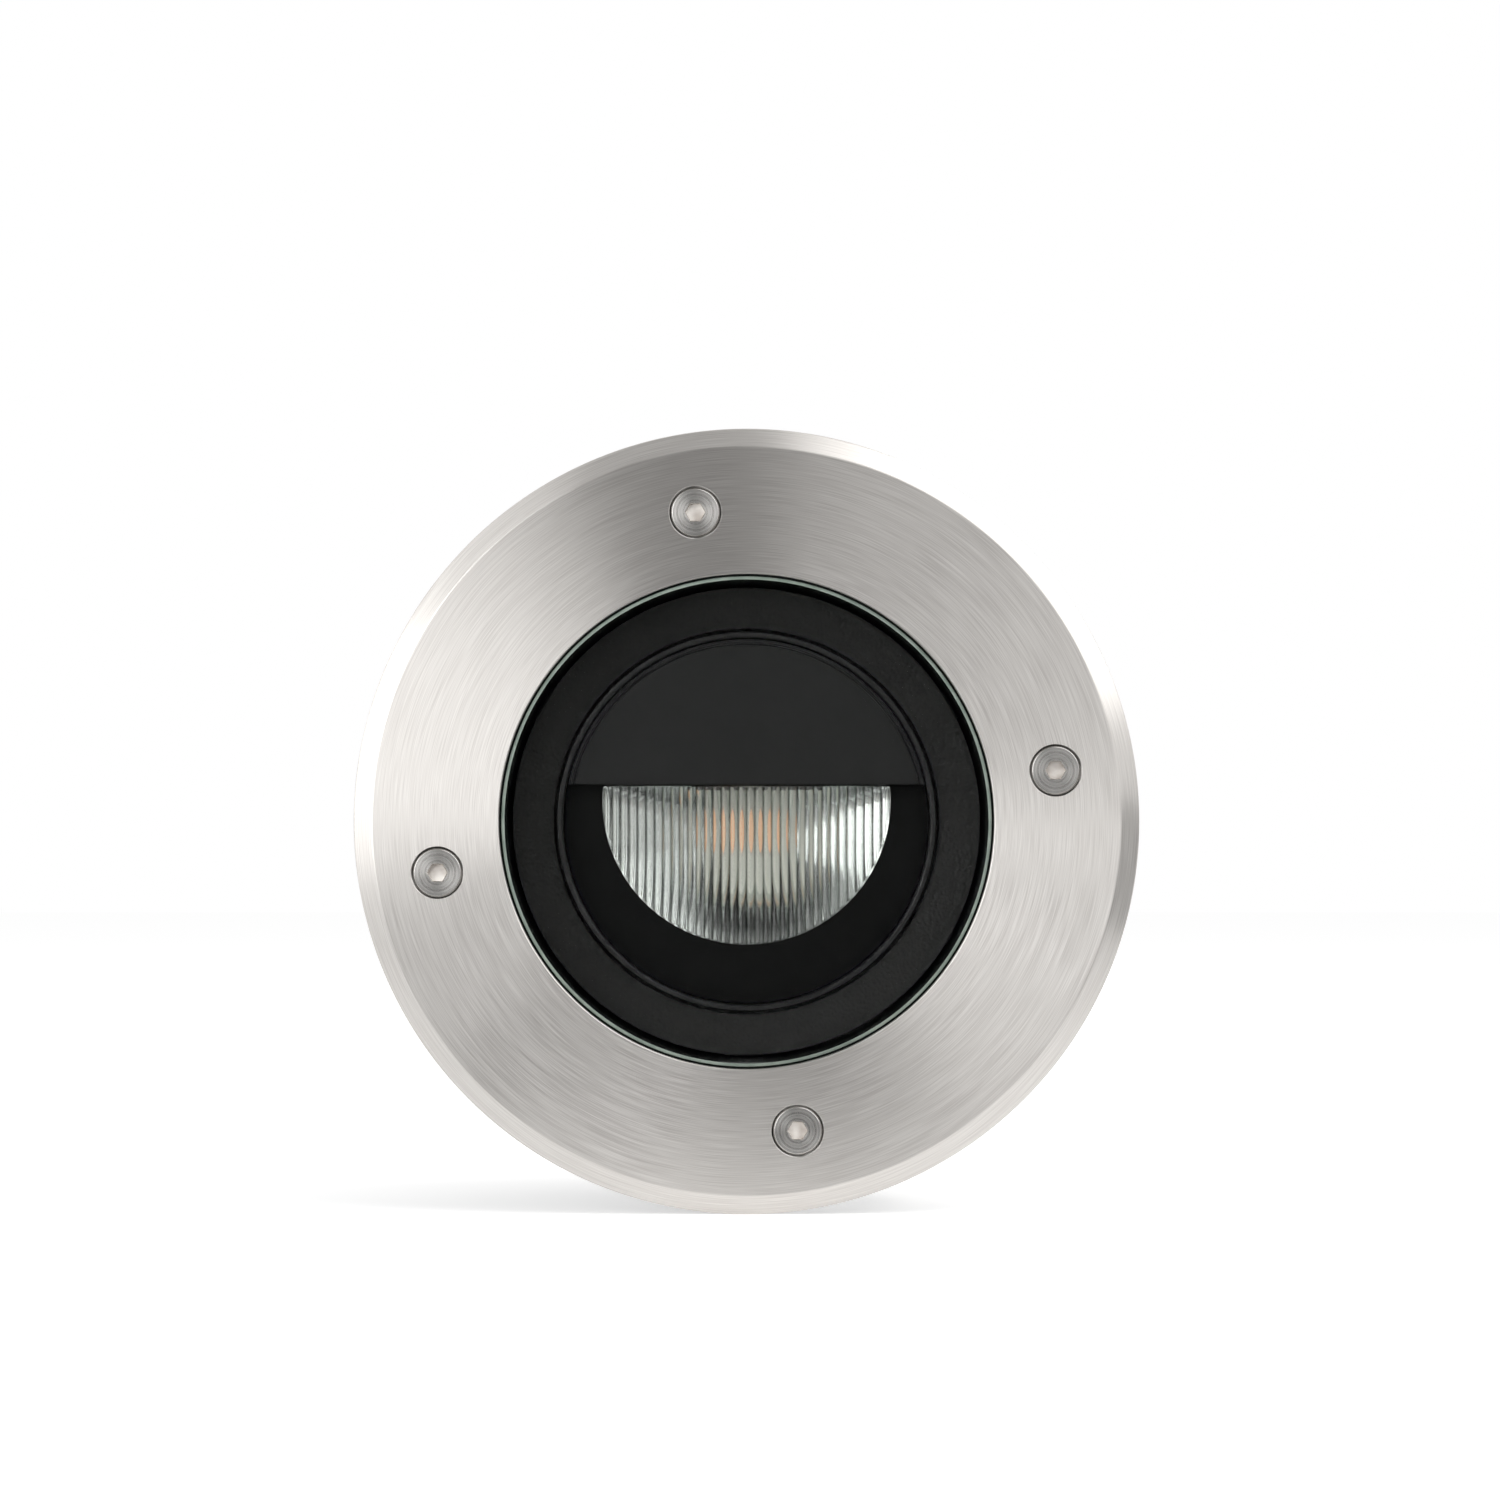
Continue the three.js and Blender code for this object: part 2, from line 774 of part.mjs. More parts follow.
const terminal = {
  width: 34,
  height: 16,
  depth: 16,
  polePitch: 11,
  leadHoleRadius: 1.4,
  supplyHoleRadius: 2,
  holeDepth: 5,
  screwHoleRadius: 1.8,
  mountOffset: 5.5,
};
const terminalBackY = floorY - seatGap;
const terminalFrontY = terminalBackY - terminal.depth;
const terminalMount = [terminalPlace[0] + terminal.mountOffset, terminalPlace[1]];
const terminalScrewEndY = floorY + housing.floor / 2;
const terminalHole = rod(
  m3HoleRadius,
  floorY - overrun,
  terminalScrewEndY + seatGap,
  terminalMount,
  tinySides,
);

const pot = join(
  potBlank,
  ...fins,
  ...rimBosses,
  ...trimPosts,
  ...carrierPosts,
  ...driverBosses,
  earthBoss,
  ...backPads,
  ...springPads,
);
piece(light, "housing", cut(
  pot,
  ...rimHoles,
  ...trimPinHoles,
  ...carrierPostHoles,
  ...driverHoles,
  earthHole,
  ...backHoles,
  ...springScrewHoles,
  terminalHole,
), castCoating);

// Carrier plate: holds the optic's hub, notched round the trim plate's posts
const hubHoleRadius = cup.hubRadius + seatGap;
const notchDepth = carrierRadius - postInnerRadius + seatGap;
const carrierNotches = trimPinAngles.map((angle) => turnedTo(angle, block(
  notchDepth + overrun,
  post.width + 2 * seatGap,
  carrierFrontY - overrun,
  carrierBackY + overrun,
  [carrierRadius + (overrun - notchDepth) / 2, 0],
)));
const carrierScrewHoles = carrierScrewPlaces.map((place) => rod(
  m4HoleRadius,
  carrierFrontY - overrun,
  carrierBackY + overrun,
  place,
  tinySides,
));
const stopPinPlace = polar(stopPinCircleRadius, swivel.pinAngle);
const stopPinHole = rod(
  swivel.pinRadius + seatGap,
  carrierFrontY - overrun,
  carrierBackY + overrun,
  stopPinPlace,
);
piece(light, "carrier_plate", cut(
  ring(hubHoleRadius, carrierRadius, carrierFrontY, carrierBackY),
  ...carrierNotches,
  ...carrierScrewHoles,
  stopPinHole,
), bareAluminium);

carrierScrewPlaces.forEach(([x, z], index) => {
  const screw = piece(light, `carrier_screw_${index + 1}`, panScrew(m4), plainSteel);
  screw.position.set(x, carrierFrontY - seatGap, z);
});

// Optic cup: mouth and ledge in front, hollow hub and stop groove behind
const clip = {
  thickness: 0.9,
  lap: 3.5,
  grooveDepth: 1.2,
  mouthAngle: 90,
  mouthHalfAngle: 16,
};
const washer = {
  thickness: 0.5,
  wave: 0.35,
  waves: 3,
  lap: 5,
};
const washerFrontY = carrierBackY + seatGap;
const washerBackY = washerFrontY + washer.thickness + 2 * washer.wave;
const clipFrontY = washerBackY + seatGap;
const clipBackY = clipFrontY + clip.thickness;
const clipGrooveRadius = cup.hubRadius - clip.grooveDepth;
const clipOuterRadius = cup.hubRadius + clip.lap;
const washerOuterRadius = cup.hubRadius + washer.lap;

const cupBlank = turned([
  [0, cupFloorY],
  [cupInnerRadius, cupFloorY],
  [cupInnerRadius, ledgeY],
  [cupMouthRadius, ledgeY],
  [cupMouthRadius, cupFrontY + cup.edgeBreak],
  [cupMouthRadius + cup.edgeBreak, cupFrontY],
  [cup.radius - cup.edgeBreak, cupFrontY],
  [cup.radius, cupFrontY + cup.edgeBreak],
  [cup.radius, cupBackY],
  [cup.hubRadius, cupBackY],
  [cup.hubRadius, clipFrontY - seatGap],
  [clipGrooveRadius, clipFrontY - seatGap],
  [clipGrooveRadius, clipBackY + seatGap],
  [cup.hubRadius, clipBackY + seatGap],
  [cup.hubRadius, hubEndY],
  [cup.hubRadius - cup.hubWall, hubEndY],
  [cup.hubRadius - cup.hubWall, cupBackY],
  [0, cupBackY],
], roundSides);

const stopReach = swivel.pinRadius + seatGap;
const stopPinHalfAngle = THREE.MathUtils.radToDeg(Math.asin(stopReach / stopPinCircleRadius));
const landHalfAngle = halfTurn - swivel.limit - stopPinHalfAngle;
const stopRing = ring(
  stopPinCircleRadius - stopReach,
  stopPinCircleRadius + stopReach,
  cupBackY - swivel.grooveDepth,
  cupBackY + overrun,
  roundSides,
);
const stopLand = sector(
  landHalfAngle,
  swivel.pinAngle - halfTurn,
  cup.radius,
  cupBackY - swivel.grooveDepth - overrun,
  cupBackY + 2 * overrun,
);
const stopGroove = cut(stopRing, stopLand);

const maskScrew = {
  inset: 3,
  angle: 35,
  bossRadius: 3.2,
};
const maskScrewPlaces = [maskScrew.angle, halfTurn - maskScrew.angle]
  .map((angle) => polar(cupInnerRadius - maskScrew.inset, angle));
const maskBosses = maskScrewPlaces.map((place) => rod(
  maskScrew.bossRadius,
  ledgeY,
  cupFloorY + overrun,
  place,
));
const maskBossHoles = maskScrewPlaces.map((place) => rod(
  m3HoleRadius,
  ledgeY - overrun,
  maskFrontY + m3.shaftLength + overrun,
  place,
  tinySides,
));

const led = {
  centreZ: -2.3,
  boardSize: 15,
  boardThickness: 1.5,
  padThickness: 0.5,
  emitterRadius: 4.75,
  emitterThickness: 0.5,
  holderRadius: 15,
  holderThickness: 4.4,
  holderOpening: 6.2,
  screwReach: 11.5,
};
const ledPlace = [0, led.centreZ];
const padBack = cupFloorY - seatGap;
const padFront = padBack - led.padThickness;
const boardBack = padFront - seatGap;
const boardFront = boardBack - led.boardThickness;
const emitterBack = boardFront - seatGap;
const emitterFront = emitterBack - led.emitterThickness;
const holderBack = cupFloorY - seatGap;
const holderFront = holderBack - led.holderThickness;
const ledScrewPlaces = [-led.screwReach, led.screwReach].map((x) => [x, led.centreZ]);
const ledScrewEnd = cupBackY - overrun;
const ledScrewSeatY = holderFront + m3.headHeight;
const ledScrewSize = { ...m3, shaftLength: ledScrewEnd - ledScrewSeatY };
const ledScrewHoles = ledScrewPlaces.map((place) => rod(
  m3HoleRadius,
  cupFloorY - overrun,
  ledScrewEnd + seatGap,
  place,
  tinySides,
));

const ledLead = {
  radius: 1.3,
  holeRadius: 2,
  holeInset: 3.8,
  frontSteps: 24,
  rearSteps: 16,
};
const holderTopZ = led.centreZ + led.holderRadius;
const ledLeadHoleZ = holderTopZ + ledLead.holeInset;
const ledLeadHole = rod(
  ledLead.holeRadius,
  cupFloorY - overrun,
  cupBackY + overrun,
  [0, ledLeadHoleZ],
  tinySides,
);

piece(optic, "optic_cup", cut(
  join(cupBlank, ...maskBosses),
  stopGroove,
  ...maskBossHoles,
  ...ledScrewHoles,
  ledLeadHole,
), satinBlack);

// Outline of the half-moon window, grown or drawn in all round
function halfMoon(growth) {
  const radius = windowRadius + growth;
  const topZ = windowTopZ + growth;
  const rise = Math.asin((topZ - mask.windowCentreZ) / radius);
  const outline = new THREE.Shape();
  outline.absarc(0, mask.windowCentreZ, radius, rise, Math.PI - rise, true);
  outline.closePath();
  return outline;
}

// Disc with the window, screwed to the cup's bosses
const discRadius = cupMouthRadius - seatGap;
const leg = {
  radius: 2,
  dowelRadius: 1.2,
  topInset: 6,
  sideX: 25,
  sideRise: 5.3,
};
const legPlaces = [
  [0, cupMouthRadius - leg.topInset],
  [-leg.sideX, windowTopZ + leg.sideRise],
  [leg.sideX, windowTopZ + leg.sideRise],
];
const maskCuts = [
  plate(halfMoon(0), maskFrontY - overrun, maskBackY + overrun),
  ...maskScrewPlaces.map((place) => rod(
    m3HoleRadius,
    maskFrontY - overrun,
    maskBackY + overrun,
    place,
    tinySides,
  )),
  ...legPlaces.map((place) => rod(
    leg.dowelRadius + seatGap,
    maskFrontY - overrun,
    maskBackY + overrun,
    place,
    tinySides,
  )),
];
piece(optic, "window_mask", cut(turned([
  [0, maskFrontY],
  [discRadius, maskFrontY],
  [discRadius, maskBackY],
  [0, maskBackY],
], roundSides), ...maskCuts), satinBlack);

maskScrewPlaces.forEach(([x, z], index) => {
  const screw = piece(optic, `mask_screw_${index + 1}`, panScrew(m3), plainSteel);
  screw.position.set(x, maskFrontY - seatGap, z);
});

// Half-disc shield on three dowelled legs
const grooveInnerRadius = cupMouthRadius - shield.grooveInset;
const grooveOuterRadius = grooveInnerRadius + shield.grooveWidth;
const shieldDisc = turned([
  [0, shieldFrontY],
  [grooveInnerRadius, shieldFrontY],
  [grooveInnerRadius, shieldFrontY + shield.grooveDepth],
  [grooveOuterRadius, shieldFrontY + shield.grooveDepth],
  [grooveOuterRadius, shieldFrontY],
  [discRadius, shieldFrontY],
  [discRadius, shieldBackY],
  [0, shieldBackY],
], roundSides);
const shieldCutHeight = discRadius + shield.edgeZ + overrun;
const shieldCut = block(
  2 * (discRadius + overrun),
  shieldCutHeight,
  shieldFrontY - overrun,
  shieldBackY + overrun,
  [0, shield.edgeZ - shieldCutHeight / 2],
);
const shieldLegs = legPlaces.flatMap((place) => [
  rod(leg.radius, shieldBackY - shield.thickness / 2, maskFrontY - seatGap, place),
  rod(leg.dowelRadius, maskFrontY - seatGap - overrun, maskBackY - seatGap, place, tinySides),
]);
piece(optic, "light_shield", join(cut(shieldDisc, shieldCut), ...shieldLegs), satinBlack);

// Lens: a flange behind the mask and a block of upright ribs in the window
const lensRibRadius = windowRadius - seatGap;
const ribCount = Math.floor((2 * lensRibRadius) / lens.ribPitch);
const ribHalfWidth = (ribCount * lens.ribPitch) / 2;
const ribValleyY = lensFrontY - lens.blockHeight + lens.ribHeight;
const ribRootY = lensFrontY + lens.flange / 2;
const ribPointCount = ribCount * lens.ribSteps + 1;
const ribPoints = Array.from({ length: ribPointCount }, (_, index) => {
  const swell = Math.abs(Math.sin((index * Math.PI) / lens.ribSteps));
  const x = (index * lens.ribPitch) / lens.ribSteps - ribHalfWidth;
  return new THREE.Vector2(x, ribValleyY - lens.ribHeight * swell);
});
const ribOutline = new THREE.Shape([
  ...ribPoints,
  new THREE.Vector2(ribHalfWidth, ribRootY),
  new THREE.Vector2(-ribHalfWidth, ribRootY),
]);
const lensSpan = 2 * (lensRibRadius + overrun);
const ribBlock = new THREE.ExtrudeGeometry(ribOutline, { depth: lensSpan, bevelEnabled: false })
  .translate(0, 0, mask.windowCentreZ - lensSpan / 2);
const ribWindow = plate(halfMoon(-seatGap), lensFrontY - 2 * lens.blockHeight, ribRootY);
const lensFlange = plate(halfMoon(lens.lap), lensFrontY, lensBackY);
piece(optic, "ribbed_lens", join(common(ribBlock, ribWindow), lensFlange), clearLens);

// Reflector: a thin shell from the round LED opening to the half-moon window
const reflector = {
  wall: 1,
  throatRadius: 6,
  margin: 0.6,
  sides: 40,
  levels: 4,
  flareShare: 0.55,
};
const reflectorFrontY = lensBackY + seatGap;
const reflectorBackY = holderFront - seatGap;

// Distance from the LED's axis to the window's outline in one direction
function windowReach(angle) {
  const toCentre = mask.windowCentreZ - led.centreZ;
  const along = toCentre * Math.sin(angle);
  const arc = along + Math.sqrt(along ** 2 - toCentre ** 2 + windowRadius ** 2);
  const rise = Math.sin(angle);
  const line = rise > 0 ? (windowTopZ - led.centreZ) / rise : Infinity;
  return Math.min(arc, line);
}

function reflectorPoint(side, level, growth) {
  const angle = (side * 2 * Math.PI) / reflector.sides;
  const rise = level / reflector.levels;
  const mouth = windowReach(angle) + reflector.margin;
  const flare = rise ** reflector.flareShare;
  const reach = reflector.throatRadius + (mouth - reflector.throatRadius) * flare + growth;
  const y = reflectorBackY + (reflectorFrontY - reflectorBackY) * rise;
  return [reach * Math.cos(angle), y, led.centreZ + reach * Math.sin(angle)];
}

function reflectorShell() {
  const levels = Array.from({ length: reflector.levels + 1 }, (_, level) => level);
  const loop = [
    ...levels.map((level) => [level, 0]),
    ...levels.toReversed().map((level) => [level, reflector.wall]),
  ];
  const positions = [];
  const faces = [];
  for (let side = 0; side < reflector.sides; side += 1) {
    loop.forEach(([level, growth]) => positions.push(...reflectorPoint(side, level, growth)));
    const next = (side + 1) % reflector.sides;
    loop.forEach((_, step) => {
      const stepOn = (step + 1) % loop.length;
      const corner = side * loop.length + step;
      const cornerOn = side * loop.length + stepOn;
      const across = next * loop.length + step;
      const acrossOn = next * loop.length + stepOn;
      faces.push(corner, cornerOn, across, across, cornerOn, acrossOn);
    });
  }
  const shell = new THREE.BufferGeometry();
  shell.setAttribute("position", new THREE.Float32BufferAttribute(positions, 3));
  shell.setIndex(faces);
  return shell;
}
piece(optic, "reflector", reflectorShell(), mirrorAluminium);

// LED on its board, with the pad behind and the holder over it
piece(optic, "thermal_pad", block(led.boardSize, led.boardSize, padFront, padBack, ledPlace), greyPad);
piece(optic, "led_board", block(led.boardSize, led.boardSize, boardFront, boardBack, ledPlace), whiteBoard);
piece(
  optic,
  "led_emitter",
  rod(led.emitterRadius, emitterFront, emitterBack, ledPlace),
  ledPhosphor,
);
const holderPocket = led.boardSize + 2 * seatGap;
piece(optic, "led_holder", cut(
  rod(led.holderRadius, holderFront, holderBack, ledPlace, midSides),
  rod(led.holderOpening, holderFront - overrun, holderBack, ledPlace),
  block(holderPocket, holderPocket, emitterBack, holderBack + overrun, ledPlace),
  ...ledScrewPlaces.flatMap((place) => [
    rod(m3HoleRadius, holderFront, holderBack + overrun, place, tinySides),
    rod(m3.headRadius + seatGap, holderFront - overrun, ledScrewSeatY + seatGap, place),
  ]),
), whitePlastic);

ledScrewPlaces.forEach(([x, z], index) => {
  const screw = piece(optic, `led_holder_screw_${index + 1}`, panScrew(ledScrewSize), plainSteel);
  screw.position.set(x, ledScrewSeatY, z);
});

// Swivel: sliding ring in front of the carrier, wave washer and clip behind it, and the stop pin
piece(light, "swivel_ring", ring(
  swivelRingInnerRadius,
  swivelRingOuterRadius,
  swivelRingY,
  swivelRingY + swivel.ringThickness,
  roundSides,
), bronze);

function waveWasher() {
  const flat = ring(
    hubHoleRadius,
    washerOuterRadius,
    -washer.thickness / 2,
    washer.thickness / 2,
    roundSides,
  );
  const corners = flat.attributes.position;
  for (let index = 0; index < corners.count; index += 1) {
    const angle = Math.atan2(corners.getZ(index), corners.getX(index));
    corners.setY(index, corners.getY(index) + washer.wave * Math.sin(washer.waves * angle));
  }
  return flat.translate(0, (washerFrontY + washerBackY) / 2, 0);
}
piece(light, "wave_washer", waveWasher(), springSteel);

piece(optic, "retaining_clip", cut(
  ring(clipGrooveRadius + seatGap, clipOuterRadius, clipFrontY, clipBackY, roundSides),
  sector(
    clip.mouthHalfAngle,
    clip.mouthAngle,
    2 * clipOuterRadius,
    clipFrontY - overrun,
    clipBackY + overrun,
  ),
), springSteel);

const stopPinHead = {
  radius: 3.2,
  height: 1.2,
};
const stopPinFrontY = cupBackY - swivel.grooveDepth + seatGap;
const stopPinHeadY = carrierBackY + seatGap;
const stopPin = piece(light, "stop_pin", turned([
  [0, stopPinFrontY],
  [swivel.pinRadius, stopPinFrontY],
  [swivel.pinRadius, stopPinHeadY],
  [stopPinHead.radius, stopPinHeadY],
  [stopPinHead.radius, stopPinHeadY + stopPinHead.height],
  [0, stopPinHeadY + stopPinHead.height],
], smallSides), plainSteel);
stopPin.position.set(stopPinPlace[0], 0, stopPinPlace[1]);

// LED lead: out of the holder, through the cup's floor and back onto the axis in the hub
const plug = {
  radius: 4.2,
  length: 7,
  gapFromHub: 1.5,
};
const plugFrontY = hubEndY + plug.gapFromHub;
const plugBackY = plugFrontY + plug.length;
const socketFrontY = plugBackY + seatGap;
const socketBackY = socketFrontY + plug.length;
const leadStartY = holderFront + led.holderThickness / 3;
piece(optic, "led_cable_front", lead([
  [0, leadStartY, holderTopZ + seatGap],
  [0, leadStartY, (holderTopZ + ledLeadHoleZ) / 2],
  [0, cupFloorY - ledLead.radius, ledLeadHoleZ],
  [0, cupBackY, ledLeadHoleZ],
  [0, cupBackY + cup.hubLength / 3, (2 * ledLeadHoleZ) / 3],
  [0, cupBackY + cup.hubLength / 2, ledLeadHoleZ / 5],
  [0, plugFrontY - 3 * ledLead.radius, 0],
  [0, plugFrontY - ledLead.radius, 0],
  [0, plugFrontY - seatGap, 0],
], ledLead.radius, ledLead.frontSteps), whiteSheath);
piece(optic, "led_plug", rod(plug.radius, plugFrontY, plugBackY), whitePlastic);
piece(light, "led_socket", rod(plug.radius, socketFrontY, socketBackY), whitePlastic);
const rearLeadTurnY = (socketBackY + driverCaseFrontY) / 2;
piece(light, "led_cable_rear", lead([
  [0, socketBackY + seatGap, 0],
  [0, socketBackY + ledLead.radius, 0],
  [driverOutputX / 10, (socketBackY + 2 * rearLeadTurnY) / 3, 0],
  [driverOutputX / 3, rearLeadTurnY, 0],
  [(2 * driverOutputX) / 3, rearLeadTurnY, 0],
  [driverOutputX - ledLead.radius, (rearLeadTurnY + driverCaseFrontY) / 2, 0],
  [driverOutputX, driverCaseFrontY - ledLead.radius, 0],
  [driverOutputX, driverCaseFrontY - seatGap, 0],
], ledLead.radius, ledLead.rearSteps), whiteSheath);

// Driver: base with two tabs, board with its components, case over them
const driverHeights = {
  boardRise: 3,
  boardThickness: 1.6,
  coilSize: 15,
  coilHeight: 10,
  coilX: -4,
  canRadius: 5,
  canHeight: 11,
  canX: 18,
  chokeRadius: 5.5,
  chokeHeight: 8,
  chokeX: -24,
};
piece(light, "driver_base", cut(
  join(
    block(driver.width, driver.height, driverBaseFrontY, driverBaseBackY),
    block(2 * driverTabReach, driver.tabHeight, driverBaseFrontY, driverBaseBackY),
  ),
  ...driverScrewPlaces.map((place) => rod(
    m4HoleRadius,
    driverBaseFrontY - overrun,
    driverBaseBackY + overrun,
    place,
    tinySides,
  )),
), satinBlack);

const driverInside = [driver.width - 2 * driver.wall, driver.height - 2 * driver.wall];
piece(light, "driver_case", cut(
  block(driver.width, driver.height, driverCaseFrontY, driverCaseBackY),
  block(...driverInside, driverCaseFrontY + driver.wall, driverCaseBackY + overrun),
), whitePlastic);

const boardBackY = driverCaseBackY - driverHeights.boardRise;
const boardFrontY = boardBackY - driverHeights.boardThickness;
const boardMiddleY = (boardFrontY + boardBackY) / 2;
piece(light, "driver_board", join(
  block(driverInside[0] - 2 * seatGap, driverInside[1] - 2 * seatGap, boardFrontY, boardBackY),
  block(
    driverHeights.coilSize,
    driverHeights.coilSize,
    boardFrontY - driverHeights.coilHeight,
    boardMiddleY,
    [driverHeights.coilX, 0],
  ),
  rod(
    driverHeights.canRadius,
    boardFrontY - driverHeights.canHeight,
    boardMiddleY,
    [driverHeights.canX, 0],
  ),
  rod(
    driverHeights.chokeRadius,
    boardFrontY - driverHeights.chokeHeight,
    boardMiddleY,
    [driverHeights.chokeX, 0],
  ),
), greenBoard);

driverScrewPlaces.forEach(([x, z], index) => {
  const size = { ...m4, shaftLength: driver.baseThickness + floorBoss.holeDepth };
  const screw = piece(light, `driver_screw_${index + 1}`, panScrew(size), plainSteel);
  screw.position.set(x, driverBaseFrontY - seatGap, z);
});

// Terminal block, its screw and the short leads to the driver
const polePlaces = [-terminal.polePitch, 0, terminal.polePitch].map((x) => terminalPlace[0] + x);
const poleY = (terminalFrontY + terminalBackY) / 2;
const terminalLowZ = terminalPlace[1] - terminal.height / 2;
const terminalHighZ = terminalPlace[1] + terminal.height / 2;
piece(light, "terminal_block", cut(
  block(terminal.width, terminal.height, terminalFrontY, terminalBackY, terminalPlace),
  ...polePlaces.flatMap((x) => [
    rodAlongZ(terminal.leadHoleRadius, terminalLowZ - overrun, terminalLowZ + terminal.holeDepth, x, poleY),
    rodAlongZ(
      terminal.supplyHoleRadius,
      terminalHighZ - terminal.holeDepth,
      terminalHighZ + overrun,
      x,
      poleY,
    ),
    rod(
      terminal.screwHoleRadius,
      terminalFrontY - overrun,
      terminalFrontY + terminal.holeDepth,
      [x, terminalPlace[1]],
      tinySides,
    ),
  ]),
  rod(m3HoleRadius, terminalFrontY - overrun, terminalBackY + overrun, terminalMount, tinySides),
), whitePlastic);
const terminalScrewSize = { ...m3, shaftLength: terminalScrewEndY - terminalFrontY + seatGap };
const terminalScrew = piece(light, "terminal_block_screw", panScrew(terminalScrewSize), plainSteel);
terminalScrew.position.set(terminalMount[0], terminalFrontY - seatGap, terminalMount[1]);

const mainsLead = {
  radius: 1,
  loopHeight: 6,
  steps: 14,
};
const mainsTopY = driverCaseFrontY - mainsLead.loopHeight;
const mainsNames = ["mains_lead_line", "mains_lead_neutral"];
const mainsSheaths = [brownSheath, blueSheath];
mainsNames.forEach((name, index) => {
  const x = polePlaces[index];
  piece(light, name, lead([
    [x, poleY, terminalLowZ - seatGap],
    [x, poleY - 2 * mainsLead.radius, terminalLowZ - 3 * mainsLead.radius],
    [x, driverCaseFrontY, terminalLowZ - 3 * mainsLead.radius],
    [x, mainsTopY, driver.inputZ + 7 * mainsLead.radius],
    [x, driverCaseFrontY - mainsLead.loopHeight / 2, driver.inputZ + mainsLead.radius],
    [x, driverCaseFrontY - seatGap, driver.inputZ],
  ], mainsLead.radius, mainsLead.steps), mainsSheaths[index]);
});

// Earth lead with its ring lug under the earth screw
const lug = {
  thickness: 0.8,
  radius: 5,
  leadLap: 0.8,
};
const lugBackY = earthBossTopY - seatGap;
const lugFrontY = lugBackY - lug.thickness;
const lugRing = cut(
  rod(lug.radius, lugFrontY, lugBackY, earthPlace),
  rod(m4HoleRadius, lugFrontY - overrun, lugBackY + overrun, earthPlace, tinySides),
);
const lugLeadY = lugBackY - mainsLead.radius;
const earthRoute = [
  [polePlaces[2], poleY, terminalLowZ - seatGap],
  [polePlaces[2], poleY, terminalLowZ - 2 * mainsLead.radius],
  [(polePlaces[2] + earthPlace[0]) / 2, poleY, terminalLowZ - 3 * mainsLead.radius],
  [earthPlace[0] - lug.radius, poleY, terminalLowZ - mainsLead.radius],
  [earthPlace[0], (poleY + lugLeadY) / 2, terminalLowZ],
  [earthPlace[0], lugLeadY, earthPlace[1] - lug.radius - mainsLead.radius],
  [earthPlace[0], lugLeadY, earthPlace[1] - lug.radius + lug.leadLap],
];
const earthWire = lead(earthRoute, mainsLead.radius, mainsLead.steps);
piece(light, "earth_lead", join(lugRing, earthWire), greenSheath);
const earthScrew = piece(light, "earth_screw", panScrew({
  ...m4,
  shaftLength: lug.thickness + floorBoss.holeDepth,
}), nickelBrass);
earthScrew.position.set(earthPlace[0], lugFrontY - seatGap, earthPlace[1]);

// Cable gland through the back wall: locknut inside, body, sealing ring, grip seal and cap nut
const glandRootY = padBackY + seatGap + gland.oringThickness + seatGap;
const glandHexEndY = glandRootY + gland.hexHeight;
const glandEndY = glandHexEndY + gland.neckLength;
const sealFrontY = glandEndY - gland.sealPocketDepth + seatGap;
const sealBackY = glandEndY + gripSeal.proud;
const capFrontY = glandHexEndY + seatGap;
const capShoulderY = sealBackY + seatGap;
const capBackY = capShoulderY + capNut.domeHeight;
const glandPieces = new THREE.Group();
glandPieces.position.set(glandPlace[0], 0, glandPlace[1]);
light.add(glandPieces);

piece(glandPieces, "gland_body", cut(
  join(
    rod(gland.threadRadius, floorY - gland.innerReach, glandRootY + overrun, [0, 0], midSides),
    rod(glandHexRadius, glandRootY, glandHexEndY, [0, 0], hexSides),
    rod(glandNeckRadius, glandHexEndY - overrun, glandEndY, [0, 0], midSides),
  ),
  rod(
    gland.threadRadius - gland.boreWall,
    floorY - gland.innerReach - overrun,
    glandEndY,
    [0, 0],
    midSides,
  ),
  rod(
    sealPocketRadius,
    glandEndY - gland.sealPocketDepth,
    glandEndY + overrun,
    [0, 0],
    midSides,
  ),
), nickelBrass);
piece(glandPieces, "gland_oring", ring(
  gland.threadRadius + seatGap,
  gland.threadRadius + seatGap + gland.oringWidth,
  padBackY + seatGap,
  padBackY + seatGap + gland.oringThickness,
  midSides,
), blackRubber);
piece(glandPieces, "gland_locknut", cut(
  rod(glandHexRadius, floorY - gland.innerReach + overrun, floorY - seatGap, [0, 0], hexSides),
  rod(gland.threadRadius + seatGap, floorY - gland.innerReach, floorY + overrun, [0, 0], midSides),
), nickelBrass);
piece(glandPieces, "gland_seal", ring(
  sealPocketRadius - seatGap - gripSeal.wall,
  sealPocketRadius - seatGap,
  sealFrontY,
  sealBackY,
  midSides,
), blackRubber);
piece(glandPieces, "gland_cap_nut", cut(
  join(
    rod(capHexRadius, capFrontY, capShoulderY, [0, 0], hexSides),
    cone(
      capHexRadius * Math.cos(Math.PI / hexSides),
      capNut.domeRadius,
      capShoulderY - overrun,
      capBackY,
      [0, 0],
      midSides,
    ),
  ),
  rod(glandNeckRadius + seatGap, capFrontY - overrun, capShoulderY, [0, 0], midSides),
  rod(capNut.entryRadius, capFrontY, capBackY + overrun, [0, 0], midSides),
), nickelBrass);

